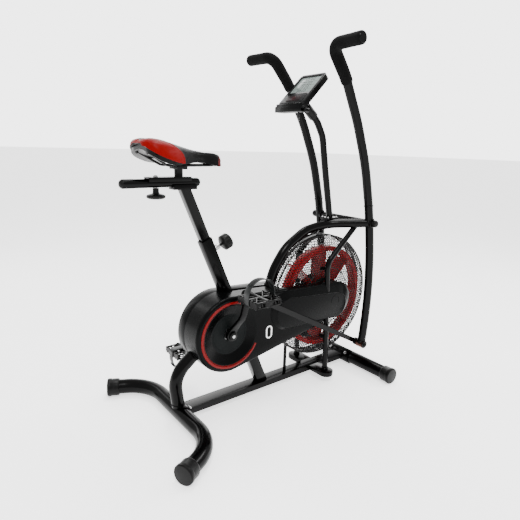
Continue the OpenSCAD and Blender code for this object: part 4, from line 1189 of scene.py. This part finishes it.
def make_console():
    long, wide = 150, 122
    s = Shape()
    plate(s, 0, long / 2, wide - 2, long, 14, 2.6, 18.6, 0, 0.6, 10)
    rings = []
    for z, q in ((2.6, 0), (0.8, 1.2), (-1.6, 5), (-2.4, 9)):
        rings.append([face_place(a * (1 - 2 * q / wide), long / 2 + b * (1 - 2 * q / long), z)
                      for a, b in soft_rect(wide - 14, long - 26, 12, 8)])
    s.loft(rings)
    # Stepped ledge at the lower edge
    s.box((-61, 95.5, 977), (61, 136, 989), 2.2)
    s.box((-61, 90, 977), (61, 112, 995.6), 2.0)
    s.box((-58, 92.6, 990), (58, 118, 1004), 3.0)
    s.finish("console_case", ["console_black"], "frame", "console_body", angle=35)

    s = Shape()
    outer, inner = soft_rect(wide, long, 14, 10), soft_rect(wide - 26, long - 72, 6, 10)
    oy, iy = long / 2, 58 + (long - 72) / 2
    loops = [(outer, oy, 18.8, 0), (outer, oy, 21.4, 0), (outer, oy, 23.0, 0.7),
             (outer, oy, 23.8, 2.2)]
    holes = [(inner, iy, 23.8, -1.6), (inner, iy, 23.2, -0.4), (inner, iy, 20.4, 0),
             (inner, iy, 18.8, 0)]

    def loop_at(outline, cy, z, q):
        w, h = (wide, long) if outline is outer else (wide - 26, long - 72)
        return [face_place(a * (1 - 2 * q / w), cy + b * (1 - 2 * q / h), z)
                for a, b in outline]
    rows = s.loft([loop_at(*p) for p in loops], (False, False))
    hole_rows = s.loft([loop_at(*p) for p in holes], (False, False))
    s.fill_between(rows[-1], hole_rows[0])
    # Dark keypad let into the lower part of the face
    plate(s, 0, 29, 100, 46, 9, 23.4, 24.5, 1, 0.6)
    plate(s, 0, 28, 66, 26, 9, 24.2, 25.1, 2, 0.6)
    s.finish("console_frame", ["console_silver", "keypad_black", "keypad_red"], "frame",
             "console_bezel", angle=35)

    s = Shape()
    plate(s, 0, iy, wide - 26.4, long - 72.4, 6, 12.2, 21.2, 0, 0.5)
    for cy in (78, 96, 114):
        plate(s, 0, cy, wide - 40, 0.9, 0.4, 21.0, 21.35, 1, 0.1, 2)
    # Plain noughts of six bars, as a display shows when nobody rides
    for cy, size in ((125.5, 10), (105, 13), (87, 10), (68, 10)):
        for cx in (-18, -7, 7, 18):
            w, t = size * 0.5, 1.3
            bars = [(0, size / 2 * up, w, t) for up in (1, -1)]
            bars += [(w / 2 * over, size / 4 * up, t, size * 0.42) for up in (1, -1)
                     for over in (-1, 1)]
            for dx, dy, a, b in bars:
                plate(s, cx + dx, cy + dy, a, b, t * 0.3, 21.0, 21.4, 1, 0.1, 2)
    s.finish("console_display", ["screen_grey", "console_black"], "frame", "console_screen",
             angle=35)

    s = Shape()
    centre = face_place(0, 28, 15)
    out = (face_place(0, 28, 16) - centre)
    s.lathe(centre, out, [(0, 0), (0, 9.6), (9.6, 9.6), (10.4, 9.2), (10.8, 8), (10.6, 5),
                          (10.2, 0)], 48)
    s.finish("console_button_cap", ["button_red"], "button", "console_button")

    s = Shape()
    mast = rounded_path([(0, 325, 612), (0, 285, 795), (0, 263, 905), (0, 232, 955),
                         (0, 146, 1022.7)], [400, 90, 90], 14)
    s.tube(mast, 12, 36)
    s.box((-20, 296, 608), (20, 352, 616), 1.6)
    weld(s, (0, 322, 616.4), (0, -0.2, 1), 12.4, 1.6)
    for x, y in ((-14, 302), (14, 302), (-14, 346), (14, 346)):
        s.lathe((x, y, 615.4), (0, 0, 1), [(0, 0), (0, 4), (0.6, 4), (0.8, 3.4), (3, 3.4),
                                           (3.4, 3), (3.4, 0)], 6, 1)
    s.finish("console_mast_tube", ["frame_paint", "zinc_steel"], "frame", "console_mast")

    s = Shape()
    lead = rounded_path([(24, 120, 976.6), (24, 122, 956), (10, 136, 950),
                         (0, 147.8, 985.7), (0, 157.4, 997.9)], [8, 10, 12], 8)
    s.tube(lead, 2, 16, edge=0.2)
    s.finish("sensor_lead_loop", ["lead_black"], "frame", "sensor_lead")


make_camera()
MATERIALS = make_materials()
make_studio()
make_frame()
make_shroud()
for side_sign, side_word, side_short in SIDES:
    make_guard(side_sign, side_word)
    make_pedal(side_sign, side_word, side_short)
    make_handle(side_sign, side_word, side_short)
make_fan()
make_cranks()
make_seat()
make_saddle()
make_console()

both = {"cad": cad_box, "visual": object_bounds()}
{k: [list(map(float, corner)) for corner in v] for k, v in both.items()}
